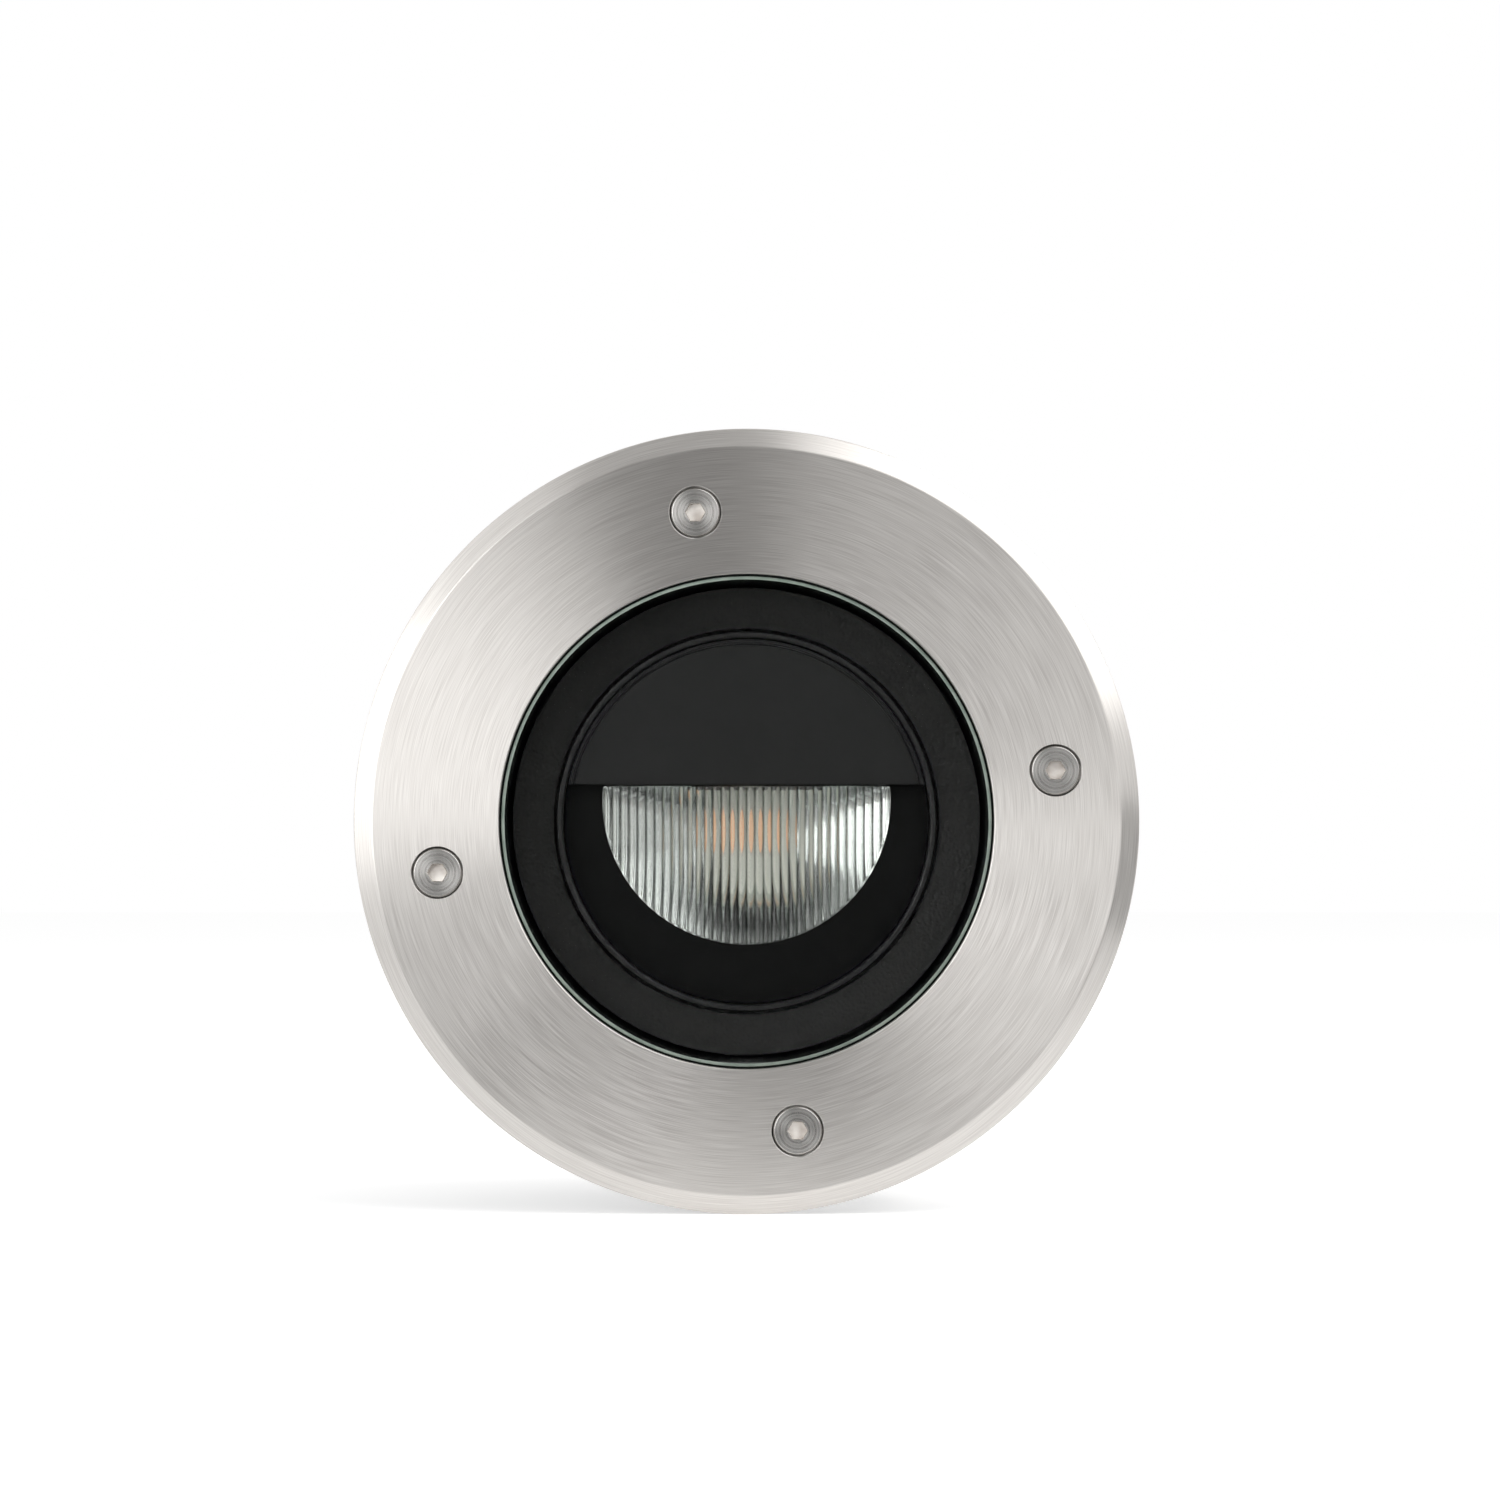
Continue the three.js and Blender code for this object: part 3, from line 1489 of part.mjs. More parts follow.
// Pressure plug through the back wall
const ventRootY = padBackY + seatGap + vent.oringThickness + seatGap;
const ventPieces = new THREE.Group();
ventPieces.position.set(ventPlace[0], 0, ventPlace[1]);
light.add(ventPieces);
piece(ventPieces, "vent_oring", ring(
  vent.threadRadius + seatGap,
  vent.threadRadius + seatGap + vent.oringWidth,
  padBackY + seatGap,
  padBackY + seatGap + vent.oringThickness,
  midSides,
), blackRubber);
piece(ventPieces, "vent_plug", cut(
  turned([
    [0, ventRootY - vent.threadLength],
    [vent.threadRadius, ventRootY - vent.threadLength],
    [vent.threadRadius, ventRootY],
    [ventHeadRadius, ventRootY],
    [ventHeadRadius, ventRootY + vent.headHeight - vent.headEdge],
    [ventHeadRadius - vent.headEdge, ventRootY + vent.headHeight],
    [0, ventRootY + vent.headHeight],
  ], midSides),
  ...spread(vent.holeCount, 0).map((angle) => rod(
    vent.holeRadius,
    ventRootY + vent.headHeight - vent.holeDepth,
    ventRootY + vent.headHeight + overrun,
    polar(vent.holeCircleRadius, angle),
    tinySides,
  )),
), nickelBrass);

// A strip of even thickness along a line of [radius, y] points, as wide as the spring
function strip(points) {
  const sideOf = (index) => {
    const before = points[Math.max(index - 1, 0)];
    const after = points[Math.min(index + 1, points.length - 1)];
    const run = after.clone().sub(before).normalize();
    return new THREE.Vector2(-run.y, run.x).multiplyScalar(spring.thickness / 2);
  };
  const left = points.map((point, index) => point.clone().add(sideOf(index)));
  const right = points.map((point, index) => point.clone().sub(sideOf(index)));
  const outline = new THREE.Shape([...left, ...right.reverse()]);
  const options = { depth: spring.width, bevelEnabled: false };
  return new THREE.ExtrudeGeometry(outline, options).translate(0, 0, -spring.width / 2);
}

// Retaining springs: a flat foot on its pad, a blade that bows out and a tip that curls in
const footRadius = padRadius + seatGap + spring.thickness / 2;
const bladePath = new THREE.CurvePath();
const footEnd = new THREE.Vector2(footRadius, springFootFrontY);
const belly = new THREE.Vector2(rimRadius + spring.reachPast - spring.thickness / 2, spring.bellyY);
const tip = new THREE.Vector2(rimRadius - spring.tipInset, spring.tipY);
const footToBelly = footEnd.y - belly.y;
const bellyToTip = belly.y - tip.y;
bladePath.add(new THREE.LineCurve(new THREE.Vector2(footRadius, springFootEndY), footEnd));
bladePath.add(new THREE.CubicBezierCurve(
  footEnd,
  new THREE.Vector2(footEnd.x, footEnd.y - footToBelly / 4),
  new THREE.Vector2(belly.x, belly.y + footToBelly / 3),
  belly,
));
bladePath.add(new THREE.QuadraticBezierCurve(
  belly,
  new THREE.Vector2(belly.x, belly.y - bellyToTip / 2),
  tip,
));
const bladePoints = bladePath.getPoints(spring.curveSteps);
const springHole = rodAlongX(
  m4HoleRadius,
  footRadius - overrun,
  footRadius + overrun,
  springScrewY,
  0,
);
const springScrewSize = { ...m4, shaftLength: spring.holeDepth + spring.thickness };
springAngles.forEach((angle, index) => {
  const bladeShape = cut(strip(bladePoints), springHole);
  const blade = piece(light, `retaining_spring_${index + 1}`, bladeShape, springSteel);
  blade.rotation.y = -radians(angle);
  const screwArm = new THREE.Group();
  screwArm.rotation.y = -radians(angle);
  light.add(screwArm);
  const screw = piece(screwArm, `spring_screw_${index + 1}`, panScrew(springScrewSize), plainSteel);
  screw.position.set(footRadius + spring.thickness / 2 + seatGap, springScrewY, 0);
  screw.rotation.z = Math.PI / 2;
});

export default light;
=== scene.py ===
# Looks of a recessed wall washer light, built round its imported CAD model: stainless bezel,
# stepped glass, black plate, turning half-moon optic and the finned pot behind them.
# Metres in Blender; sizes are written in millimetres and multiplied by mm.
import math
import bpy
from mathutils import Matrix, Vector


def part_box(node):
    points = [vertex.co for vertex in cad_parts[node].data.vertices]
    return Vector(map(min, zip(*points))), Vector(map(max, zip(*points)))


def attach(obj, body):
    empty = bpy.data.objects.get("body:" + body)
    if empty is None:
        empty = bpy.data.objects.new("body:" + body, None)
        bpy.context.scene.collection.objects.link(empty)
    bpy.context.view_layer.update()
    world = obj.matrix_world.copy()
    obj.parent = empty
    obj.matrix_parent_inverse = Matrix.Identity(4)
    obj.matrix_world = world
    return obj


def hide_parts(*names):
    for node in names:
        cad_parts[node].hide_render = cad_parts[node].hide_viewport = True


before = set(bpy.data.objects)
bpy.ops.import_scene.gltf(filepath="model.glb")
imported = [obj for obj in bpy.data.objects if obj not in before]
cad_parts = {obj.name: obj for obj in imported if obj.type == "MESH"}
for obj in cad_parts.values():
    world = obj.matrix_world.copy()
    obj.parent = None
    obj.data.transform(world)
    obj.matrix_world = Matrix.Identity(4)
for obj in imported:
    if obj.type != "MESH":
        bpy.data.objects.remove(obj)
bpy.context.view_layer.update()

# Pot: one aluminium die casting with a deep seat for the glass, cooling fins, screw bosses and
# inner posts. It is powder coated dark grey after casting, which rounds its edges and leaves
# a fine orange peel.
mm = 0.001
pot_sides = 144
cavity_radius = 57.6
pot_radius = 61.1
rim_radius = 82
seat_radius = 66
seat_y = 9.1
rim_front_y = -0.4
rim_back_y = 12.3
floor_y = 108
pot_back_y = 113
rim_chamfer = 1
back_chamfer = 4
wall_middle = 59.35
overrun = 1


def deselect():
    bpy.ops.object.select_all(action="DESELECT")


def alone(piece):
    """Selects one piece and nothing else."""
    deselect()
    piece.select_set(True)
    bpy.context.view_layer.objects.active = piece


def set_down(piece, x=0, z=0, twist=0):
    """Turns a new piece about its own Y axis, moves it to its place and fixes both in its mesh."""
    alone(piece)
    piece.rotation_euler.y = -math.radians(twist)
    piece.location = (x * mm, piece.location.y, z * mm)
    bpy.ops.object.transform_apply(location=True, rotation=True, scale=True)
    return piece


def leave():
    """Leaves edit mode."""
    bpy.ops.object.mode_set(mode="OBJECT")


def drawn(name, path, z=0):
    """Draws a line through (x, y) points at a height z and leaves it selected in edit mode."""
    deselect()
    bpy.ops.mesh.primitive_plane_add(size=mm)
    piece = bpy.context.object
    piece.name = piece.data.name = name
    bpy.ops.object.mode_set(mode="EDIT")
    bpy.ops.mesh.merge(type="CENTER")
    bpy.ops.transform.translate(value=(path[0][0] * mm, path[0][1] * mm, z * mm))
    for (x, y), (next_x, next_y) in zip(path, path[1:]):
        step = ((next_x - x) * mm, (next_y - y) * mm, 0)
        bpy.ops.mesh.extrude_vertices_move(TRANSFORM_OT_translate={"value": step})
    bpy.ops.mesh.select_all(action="SELECT")
    return piece


def turn(name, outline, sides=pot_sides, place=(0, 0), twist=0, closed=True):
    """Turns an outline of (radius, y) points about the Y axis through a place (x, z)."""
    path = list(outline)
    if closed and path[0][0] > 0:
        path.append(path[0])
    piece = drawn(name, path)
    bpy.ops.mesh.spin(steps=sides, angle=2 * math.pi, center=(0, 0, 0), axis=(0, 1, 0))
    bpy.ops.mesh.select_all(action="SELECT")
    bpy.ops.mesh.remove_doubles(threshold=0.002 * mm)
    bpy.ops.mesh.normals_make_consistent(inside=False)
    leave()
    return set_down(piece, *place, twist)


def ring(name, inner, outer, front_y, back_y, sides=pot_sides, place=(0, 0), twist=0):
    outline = [(inner, front_y), (outer, front_y), (outer, back_y), (inner, back_y)]
    return turn(name, outline, sides, place, twist)


def rod(name, radius, front_y, back_y, place=(0, 0), sides=48, twist=0):
    return ring(name, 0, radius, front_y, back_y, sides, place, twist)


def block(name, low, high):
    """A cast or cut block between two corners (x, y, z) in mm."""
    deselect()
    centre = [(a + b) / 2 * mm for a, b in zip(low, high)]
    span = [(b - a) * mm for a, b in zip(low, high)]
    bpy.ops.mesh.primitive_cube_add(size=1, location=centre, scale=span)
    piece = bpy.context.object
    piece.name = piece.data.name = name
    bpy.ops.object.transform_apply(location=True, rotation=True, scale=True)
    return piece


def worked(piece, kind, **settings):
    """Adds a modifier with its settings and applies it."""
    alone(piece)
    modifier = piece.modifiers.new("work", kind)
    for name, value in settings.items():
        setattr(modifier, name, value)
    bpy.ops.object.modifier_apply(modifier="work")
    return piece


def combined(piece, operation, tools):
    for tool in tools:
        worked(piece, "BOOLEAN", object=tool, operation=operation, solver="EXACT")
        bpy.data.meshes.remove(tool.data)
    return piece


def cut(piece, *tools):
    return combined(piece, "DIFFERENCE", tools)


def fuse(piece, *tools):
    return combined(piece, "UNION", tools)


def rounded(piece, width, segments=2, angle=30):
    """Rounds every edge that is sharper than an angle in degrees."""
    return worked(
        piece, "BEVEL", width=width * mm, segments=segments,
        limit_method="ANGLE", angle_limit=math.radians(angle),
    )


def smooth(piece, angle=35):
    """Shades the round faces smooth and keeps the flat ones flat."""
    alone(piece)
    bpy.ops.object.shade_smooth_by_angle(angle=math.radians(angle))
    return worked(piece, "WEIGHTED_NORMAL", keep_sharp=True)


def pick(piece, wanted=lambda place: True):
    """Opens a piece in edit mode with all points selected, or those whose place passes a test."""
    alone(piece)
    bpy.ops.object.mode_set(mode="EDIT")
    bpy.ops.mesh.select_mode(type="VERT")
    bpy.ops.mesh.select_all(action="DESELECT")
    leave()
    for point in piece.data.vertices:
        point.select = wanted(point.co / mm)
    bpy.ops.object.mode_set(mode="EDIT")


def sawn(piece, z, **cleared):
    """Saws a piece level at a height z, clears one half away and closes the cut."""
    pick(piece)
    bpy.ops.mesh.bisect(plane_co=(0, 0, z * mm), plane_no=(0, 0, 1), use_fill=True, **cleared)
    leave()


def copied(piece, name="copy"):
    """A copy with its own mesh."""
    alone(piece)
    bpy.ops.object.duplicate()
    copy = bpy.context.object
    copy.name = copy.data.name = name
    return copy


def around(piece, angles):
    """One tool made of copies of a piece at angles counter-clockwise from the front."""
    copies = [set_down(copied(piece), twist=angle) for angle in angles]
    bpy.data.meshes.remove(piece.data)
    deselect()
    for copy in copies:
        copy.select_set(True)
    bpy.context.view_layer.objects.active = copies[0]
    bpy.ops.object.join()
    return copies[0]


def polar(radius, degrees):
    return (radius * math.cos(math.radians(degrees)), radius * math.sin(math.radians(degrees)))


pot = turn("pot", [
    (0, floor_y),
    (cavity_radius, floor_y),
    (cavity_radius, seat_y),
    (seat_radius, seat_y),
    (seat_radius, rim_front_y),
    (rim_radius, rim_front_y),
    (rim_radius, rim_back_y - rim_chamfer),
    (rim_radius - rim_chamfer, rim_back_y),
    (pot_radius, rim_back_y),
    (pot_radius, pot_back_y - back_chamfer),
    (pot_radius - back_chamfer, pot_back_y),
    (0, pot_back_y),
])
rounded(pot, 0.5)

# Fins: 2.4 mm thick with a little draft, left out where the three spring pads sit
fin_radius = 70.1
fin_end_y = 100
fin_half = 1.2
fin_draft = 0.75
fin_slope = 5
spring_angles = (60, 180, 300)
fin = block(
    "fin",
    (wall_middle, rim_back_y - overrun, -fin_half),
    (fin_radius, fin_end_y, fin_half),
)
pick(fin, lambda place: place.x > pot_radius)
bpy.ops.transform.resize(value=(1, 1, fin_draft), center_override=(0, 0, 0))
leave()
pick(fin, lambda place: place.x > pot_radius and place.y > pot_back_y / 2)
bpy.ops.transform.translate(value=(0, -fin_slope * mm, 0))
leave()
rounded(fin, 0.6)
fuse(pot, around(fin, [angle for angle in range(0, 360, 15) if angle not in spring_angles]))

# Bosses behind the rim for the bezel's screws, each with a web to the wall
screw_angles = (9.4, 99.4, 189.4, 279.4)
screw_circle = 73.6
boss_radius = 7
boss_end_y = 20.4
boss_web_y = 16.3
boss_front_y = rim_back_y - overrun
cast_edge = 0.8
boss = rod("boss", boss_radius, boss_front_y, boss_end_y, (screw_circle, 0))
rounded(boss, cast_edge)
web = block("web", (wall_middle, boss_front_y, -3), (screw_circle, boss_web_y, 3))
rounded(web, cast_edge)
fuse(pot, around(web, screw_angles), around(boss, screw_angles))

# Inner posts for the black plate and the carrier plate, and bosses for the driver and the earth
plate_pin_angles = (30, 150, 270)
carrier_screw_angles = (90, 210, 330)
carrier_circle = 50
carrier_seat_y = 49.9
post_radius = 4.5
post_half = 4
web_half = 2
post_end_y = floor_y + overrun
driver_seat_y = 105
driver_screw_places = [(-43, 0), (43, 0)]
earth_seat_y = 103
earth_place = (22, 36)
plate_post = block("post", (49, 13.3, -post_half), (wall_middle, post_end_y, post_half))
carrier_web = block(
    "web", (carrier_circle, carrier_seat_y, -web_half), (wall_middle, post_end_y, web_half),
)
carrier_post = rod("post", post_radius, carrier_seat_y, post_end_y, (carrier_circle, 0), 24)
fuse(
    pot,
    around(rounded(plate_post, 0.6), plate_pin_angles),
    around(carrier_web, carrier_screw_angles),
    around(carrier_post, carrier_screw_angles),
    *[rod("boss", 4, driver_seat_y, post_end_y, place, 24) for place in driver_screw_places],
    rod("boss", post_radius, earth_seat_y, post_end_y, earth_place, 24),
)

# A turned relief that keeps the posts' ends out of sight beside the black plate
relief_radius = 55
relief_end_y = 45
cut(pot, ring("relief", relief_radius, cavity_radius - 0.1, 12, relief_end_y))

# Machined pads on the back wall and flat pads for the springs
gland_place = (18, -36)
vent_place = (-18, -36)
pad_front_y = pot_back_y - overrun
pad_back_y = 115
spring_screw_y = 91
spring_pad_radius = 65.6
pad_half = (9.8, 8)
spring_pad = block(
    "pad",
    (wall_middle, spring_screw_y - pad_half[0], -pad_half[1]),
    (spring_pad_radius, spring_screw_y + pad_half[0], pad_half[1]),
)
fuse(
    pot,
    rounded(rod("pad", 15.5, pad_front_y, pad_back_y, gland_place, 72), 0.4),
    rounded(rod("pad", 10, pad_front_y, pad_back_y, vent_place, 72), 0.4),
    around(rounded(spring_pad, cast_edge), spring_angles),
)

# Drilled holes, with the radii that clear an M3, an M4 and an M6 screw
m3_hole = 1.8
m4_hole = 2.3
m6_hole = 3.3
plate_pin_circle = 52.5
hole_front_y = floor_y - overrun
hole_back_y = pad_back_y + overrun


def drill(radius, front_y, back_y, place=(0, 0), sides=20):
    return rod("hole", radius, front_y, back_y, place, sides)


def side_drill(radius, far, near, sides=20):
    """A drill from the side, at the height of the spring's screw."""
    tool = drill(radius, -far, -near, sides=sides)
    tool.rotation_euler.z = math.radians(90)
    tool.location.y = spring_screw_y * mm
    return set_down(tool)


screw_hole = drill(m6_hole, rim_front_y - overrun, 17.4, (screw_circle, 0), 36)
pin_hole = drill(m3_hole, 12.3, 22, (plate_pin_circle, 0))
carrier_hole = drill(m4_hole, carrier_seat_y - overrun, 58.6, (carrier_circle, 0))
cut(
    pot,
    around(screw_hole, screw_angles),
    around(pin_hole, plate_pin_angles),
    around(carrier_hole, carrier_screw_angles),
    around(side_drill(m4_hole, 67, 60.1), spring_angles),
    drill(10.3, hole_front_y, hole_back_y, gland_place, 72),
    drill(6.3, hole_front_y, hole_back_y, vent_place, 72),
    *[drill(m4_hole, driver_seat_y - overrun, 111.5, place) for place in driver_screw_places],
    drill(m4_hole, earth_seat_y - overrun, 109.5, earth_place),
    drill(m3_hole, hole_front_y, 110.8, (-8.5, 36)),
)
smooth(pot)


def linear(code):
    """An sRGB hex colour as linear red, green, blue and alpha."""
    parts = [int(code[start:start + 2], 16) / 255 for start in (0, 2, 4)]
    return [p / 12.92 if p <= 0.04045 else ((p + 0.055) / 1.055) ** 2.4 for p in parts] + [1]


def add_node(tree, kind, settings={}, links={}):
    """Adds one shader node, sets its properties and inputs and links its inputs to outputs."""
    node = tree.nodes.new("ShaderNode" + kind)
    for name, value in settings.items():
        if isinstance(name, int) or name in node.inputs:
            node.inputs[name].default_value = value
        else:
            setattr(node, name, value)
    for name, output in links.items():
        tree.links.new(output, node.inputs[name])
    return node


def new_material(name):
    material = bpy.data.materials.new(name)
    material.use_nodes = True
    material.node_tree.nodes.clear()
    return material


# The part of a noise pattern's values that is used
noise_range = (0.3, 0.7)


def skinned(
    tree, tone, skin, dark, light, roughness, spread, depth, settings,
    tone_range=noise_range, skin_range=noise_range, **links,
):
    """Shades a finish: its colour follows one pattern, its gloss and its bumps another."""
    share = add_node(tree, "MapRange", {1: tone_range[0], 2: tone_range[1]}, {0: tone})
    colour = add_node(tree, "Mix", {
        "data_type": "RGBA", 6: linear(dark), 7: linear(light),
    }, {0: share.outputs[0]})
    gloss = add_node(tree, "MapRange", {
        1: skin_range[0], 2: skin_range[1], 3: roughness - spread, 4: roughness + spread,
    }, {0: skin})
    bump = add_node(tree, "Bump", {"Distance": depth * mm}, {"Height": skin})
    shader = add_node(tree, "BsdfPrincipled", settings, {
        "Base Color": colour.outputs[2], "Roughness": gloss.outputs[0],
        "Normal": bump.outputs[0], **links,
    })
    add_node(tree, "OutputMaterial", links={"Surface": shader.outputs[0]})


def surface(name, dark, light, metallic, roughness, grain, depth, spread=0.08, **more):
    """A finish whose colour, gloss and skin vary with a grain of a real size and depth in mm."""
    material = new_material(name)
    tree = material.node_tree
    vector = {"Vector": add_node(tree, "TexCoord").outputs["Object"]}
    scale = 1 / (grain * mm)
    skin = add_node(tree, "TexNoise", {"Scale": scale, "Detail": 4}, vector)
    wide = add_node(tree, "TexNoise", {"Scale": 0.12 * scale, "Detail": 2}, vector)
    skinned(
        tree, wide.outputs["Fac"], skin.outputs["Fac"], dark, light, roughness, spread, depth,
        {"Metallic": metallic, **more}, tone_range=(0.35, 0.65),
    )
    return material


def fitted(piece, material, body, slot, *nodes):
    """Gives a finished piece its material and body, and hides the CAD nodes it replaces. The slot
    is not used.
    """
    piece.data.materials.append(material)
    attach(piece, body)
    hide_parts(*nodes)


# Dark grey powder coat on blasted die-cast aluminium: matt, with orange peel about 1.5 mm wide
cast_coating = surface(
    "dark_grey_powder_coat_on_cast_aluminium", "292b2d", "2e3032", 0, 0.52, 1.5, 0.05, 0.05,
)
fitted(pot, cast_coating, "light_body", "cast_coating", "housing")


def node_finish(material, *names):
    """Gives CAD nodes that stay in the model a better material."""
    for name in names:
        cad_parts[name].material_slots[0].material = material


# Cable gland: nickel-plated brass body and cap nut, a rubber ring against the wall and a grip
# seal inside. A locknut holds it from inside the pot.
hexagon = 6
gland_sides = 72
nut_chamfer = (1.2, 0.8)
body_front_y = 117.1
body_back_y = 122.1
thread_radius = 10
thread_front_y = 102
neck_radius = 9.2
neck_end_y = 131.1


def hex_nut(name, corner, front_y, back_y, back_chamfer=nut_chamfer):
    """A hexagon of a radius over its corners, with both ends turned to a chamfer."""
    nut = rod(name, corner, front_y, back_y, sides=hexagon, twist=30)
    barrel = turn("barrel", [
        (0, front_y), (corner - nut_chamfer[0], front_y), (corner, front_y + nut_chamfer[1]),
        (corner, back_y - back_chamfer[1]), (corner - back_chamfer[0], back_y), (0, back_y),
    ], gland_sides)
    return combined(nut, "INTERSECT", [barrel])


gland_body = fuse(
    hex_nut("gland_body", 13.5, body_front_y, body_back_y),
    rod("thread", thread_radius, thread_front_y, body_front_y + 0.5, sides=gland_sides),
    rod("neck", neck_radius, body_back_y - 0.5, neck_end_y, sides=gland_sides),
)
cut(
    gland_body,
    rod("bore", 6, thread_front_y - overrun, neck_end_y),
    rod("pocket", 7.7, body_back_y + 0.5, neck_end_y + overrun),
)
smooth(set_down(rounded(gland_body, 0.15), *gland_place))

cap_front_y = 122.4
cap_back_y = 132.2
cap_end_y = 134.7
cap_bore = 9.5
dome_radius = 11.2
cable_hole = 5.6
dome = turn("dome", [
    (0, cap_back_y - overrun), (dome_radius, cap_back_y - overrun), (dome_radius, 132.3),
    (10.5, 133.6), (9.4, 134.4), (8.5, cap_end_y), (0, cap_end_y),
], gland_sides)
cap_nut = fuse(hex_nut("gland_cap_nut", 13, cap_front_y, cap_back_y, (1.4, 1.3)), dome)
cut(cap_nut, turn("entry", [
    (0, 121), (cap_bore, 121), (cap_bore, cap_back_y), (cable_hole, cap_back_y),
    (cable_hole, cap_end_y - 0.5), (cable_hole + 0.6, cap_end_y + 0.3), (0, cap_end_y + 0.3),
], gland_sides))
smooth(set_down(rounded(cap_nut, 0.12), *gland_place))

ring_steps = 12


def ring_of(name, radius, thickness_x, thickness_y, y, place):
    """A rubber ring of oval section round a place on the back wall."""
    angles = [step * 2 * math.pi / ring_steps for step in range(ring_steps)]
    outline = [
        (radius + thickness_x / 2 * math.cos(angle), y + thickness_y / 2 * math.sin(angle))
        for angle in angles
    ]
    return smooth(turn(name, outline, gland_sides, place), 60)


gland_oring = ring_of("gland_oring", 11.35, 2.1, 1.5, 116.05, gland_place)
gland_seal = ring("gland_seal", 4.5, 7.4, 122.9, 131.9, gland_sides, gland_place)
smooth(rounded(gland_seal, 0.4))

# Nickel plate on turned brass: bright, slightly warm, with faint tool lines
nickel_brass = surface("nickel_plated_brass", "b6b0a1", "bdb7a8", 1, 0.24, 0.9, 0.003, 0.03)
# Moulded nitrile rubber: matt black with a faint bloom
black_rubber = surface("black_nitrile_rubber", "131313", "1d1d1c", 0, 0.62, 0.7, 0.02)
fitted(gland_body, nickel_brass, "light_body", "nickel_brass", "gland_body")
fitted(cap_nut, nickel_brass, "light_body", "nickel_brass", "gland_cap_nut")
fitted(gland_oring, black_rubber, "light_body", "black_rubber", "gland_oring")
fitted(gland_seal, black_rubber, "light_body", "black_rubber", "gland_seal")
node_finish(nickel_brass, "gland_locknut", "earth_screw")

# Pressure plug: a turned, nickel-plated brass plug with four breather holes over a membrane,
# screwed down on its own rubber ring.
vent_thread = 6
vent_radius = 8.4
vent_chamfer = 0.8
vent_front_y = 109.8
vent_seat_y = 116.8
vent_end_y = 121.3
vent_plug = turn("vent_plug", [
    (0, vent_front_y), (vent_thread, vent_front_y), (vent_thread, vent_seat_y),
    (vent_radius, vent_seat_y), (vent_radius, vent_end_y - vent_chamfer),
    (vent_radius - vent_chamfer, vent_end_y), (0, vent_end_y),
], gland_sides)
rounded(vent_plug, 0.2)
breather = drill(0.8, vent_seat_y + 2, vent_end_y + overrun, (4, 0))
cut(vent_plug, around(breather, (0, 90, 180, 270)))
smooth(set_down(vent_plug, *vent_place))
vent_oring = ring_of("vent_oring", 7.1, 1.6, 1.2, 115.9, vent_place)
fitted(vent_plug, nickel_brass, "light_body", "nickel_brass", "vent_plug")
fitted(vent_oring, black_rubber, "light_body", "black_rubber", "vent_oring")

# Electrical gear inside the pot: driver box on its base, terminal block, leads and screws.
# It is closed in, so its CAD shapes stay and take their real finishes.
satin_black_metal = surface("black_anodised_aluminium", "101111", "191a1a", 0.3, 0.38, 0.5, 0.01)
white_plastic = surface("white_moulded_abs", "dcdbd4", "e8e7e1", 0, 0.48, 0.6, 0.01)
green_board = surface("green_solder_mask", "2a6239", "357545", 0, 0.42, 1.2, 0.02)
plain_steel = surface("a2_stainless_steel", "b7b3ac", "cac7c1", 1, 0.26, 0.5, 0.008)
node_finish(satin_black_metal, "driver_base")
node_finish(white_plastic, "driver_case", "terminal_block", "led_plug", "led_socket", "led_holder")
node_finish(green_board, "driver_board")
node_finish(
    plain_steel, "driver_screw_1", "driver_screw_2", "terminal_block_screw", "stop_pin",
    "carrier_screw_1", "carrier_screw_2", "carrier_screw_3", "mask_screw_1", "mask_screw_2",
    "led_holder_screw_1", "led_holder_screw_2",
)
for name, dark, light, *leads in (
    ("white_pvc_sheath", "d6d6d0", "e2e2dc", "led_cable_front", "led_cable_rear"),
    ("brown_pvc_sheath", "52311c", "633d25", "mains_lead_line"),
    ("blue_pvc_sheath", "264a91", "3056a5", "mains_lead_neutral"),
    ("green_pvc_sheath", "48903a", "57a343", "earth_lead"),
):
    node_finish(surface(name, dark, light, 0, 0.5, 0.5, 0.01), *leads)

# Swivel: the aluminium carrier plate, the bronze sliding ring, and the sprung washer and clip
# on the cup's hub. All of it is hidden behind the optic, so the CAD shapes stay.
bare_aluminium = surface("milled_aluminium", "9c9e9f", "b2b4b5", 1, 0.42, 0.6, 0.01)
bronze = surface("sintered_bronze", "a17a3d", "b78f4e", 1, 0.4, 0.3, 0.01)
spring_steel = surface("tempered_stainless_strip", "96938d", "9d9a94", 1, 0.3, 3, 0.004, 0.02)
node_finish(bare_aluminium, "carrier_plate")
node_finish(bronze, "swivel_ring")
node_finish(spring_steel, "wave_washer", "retaining_clip")

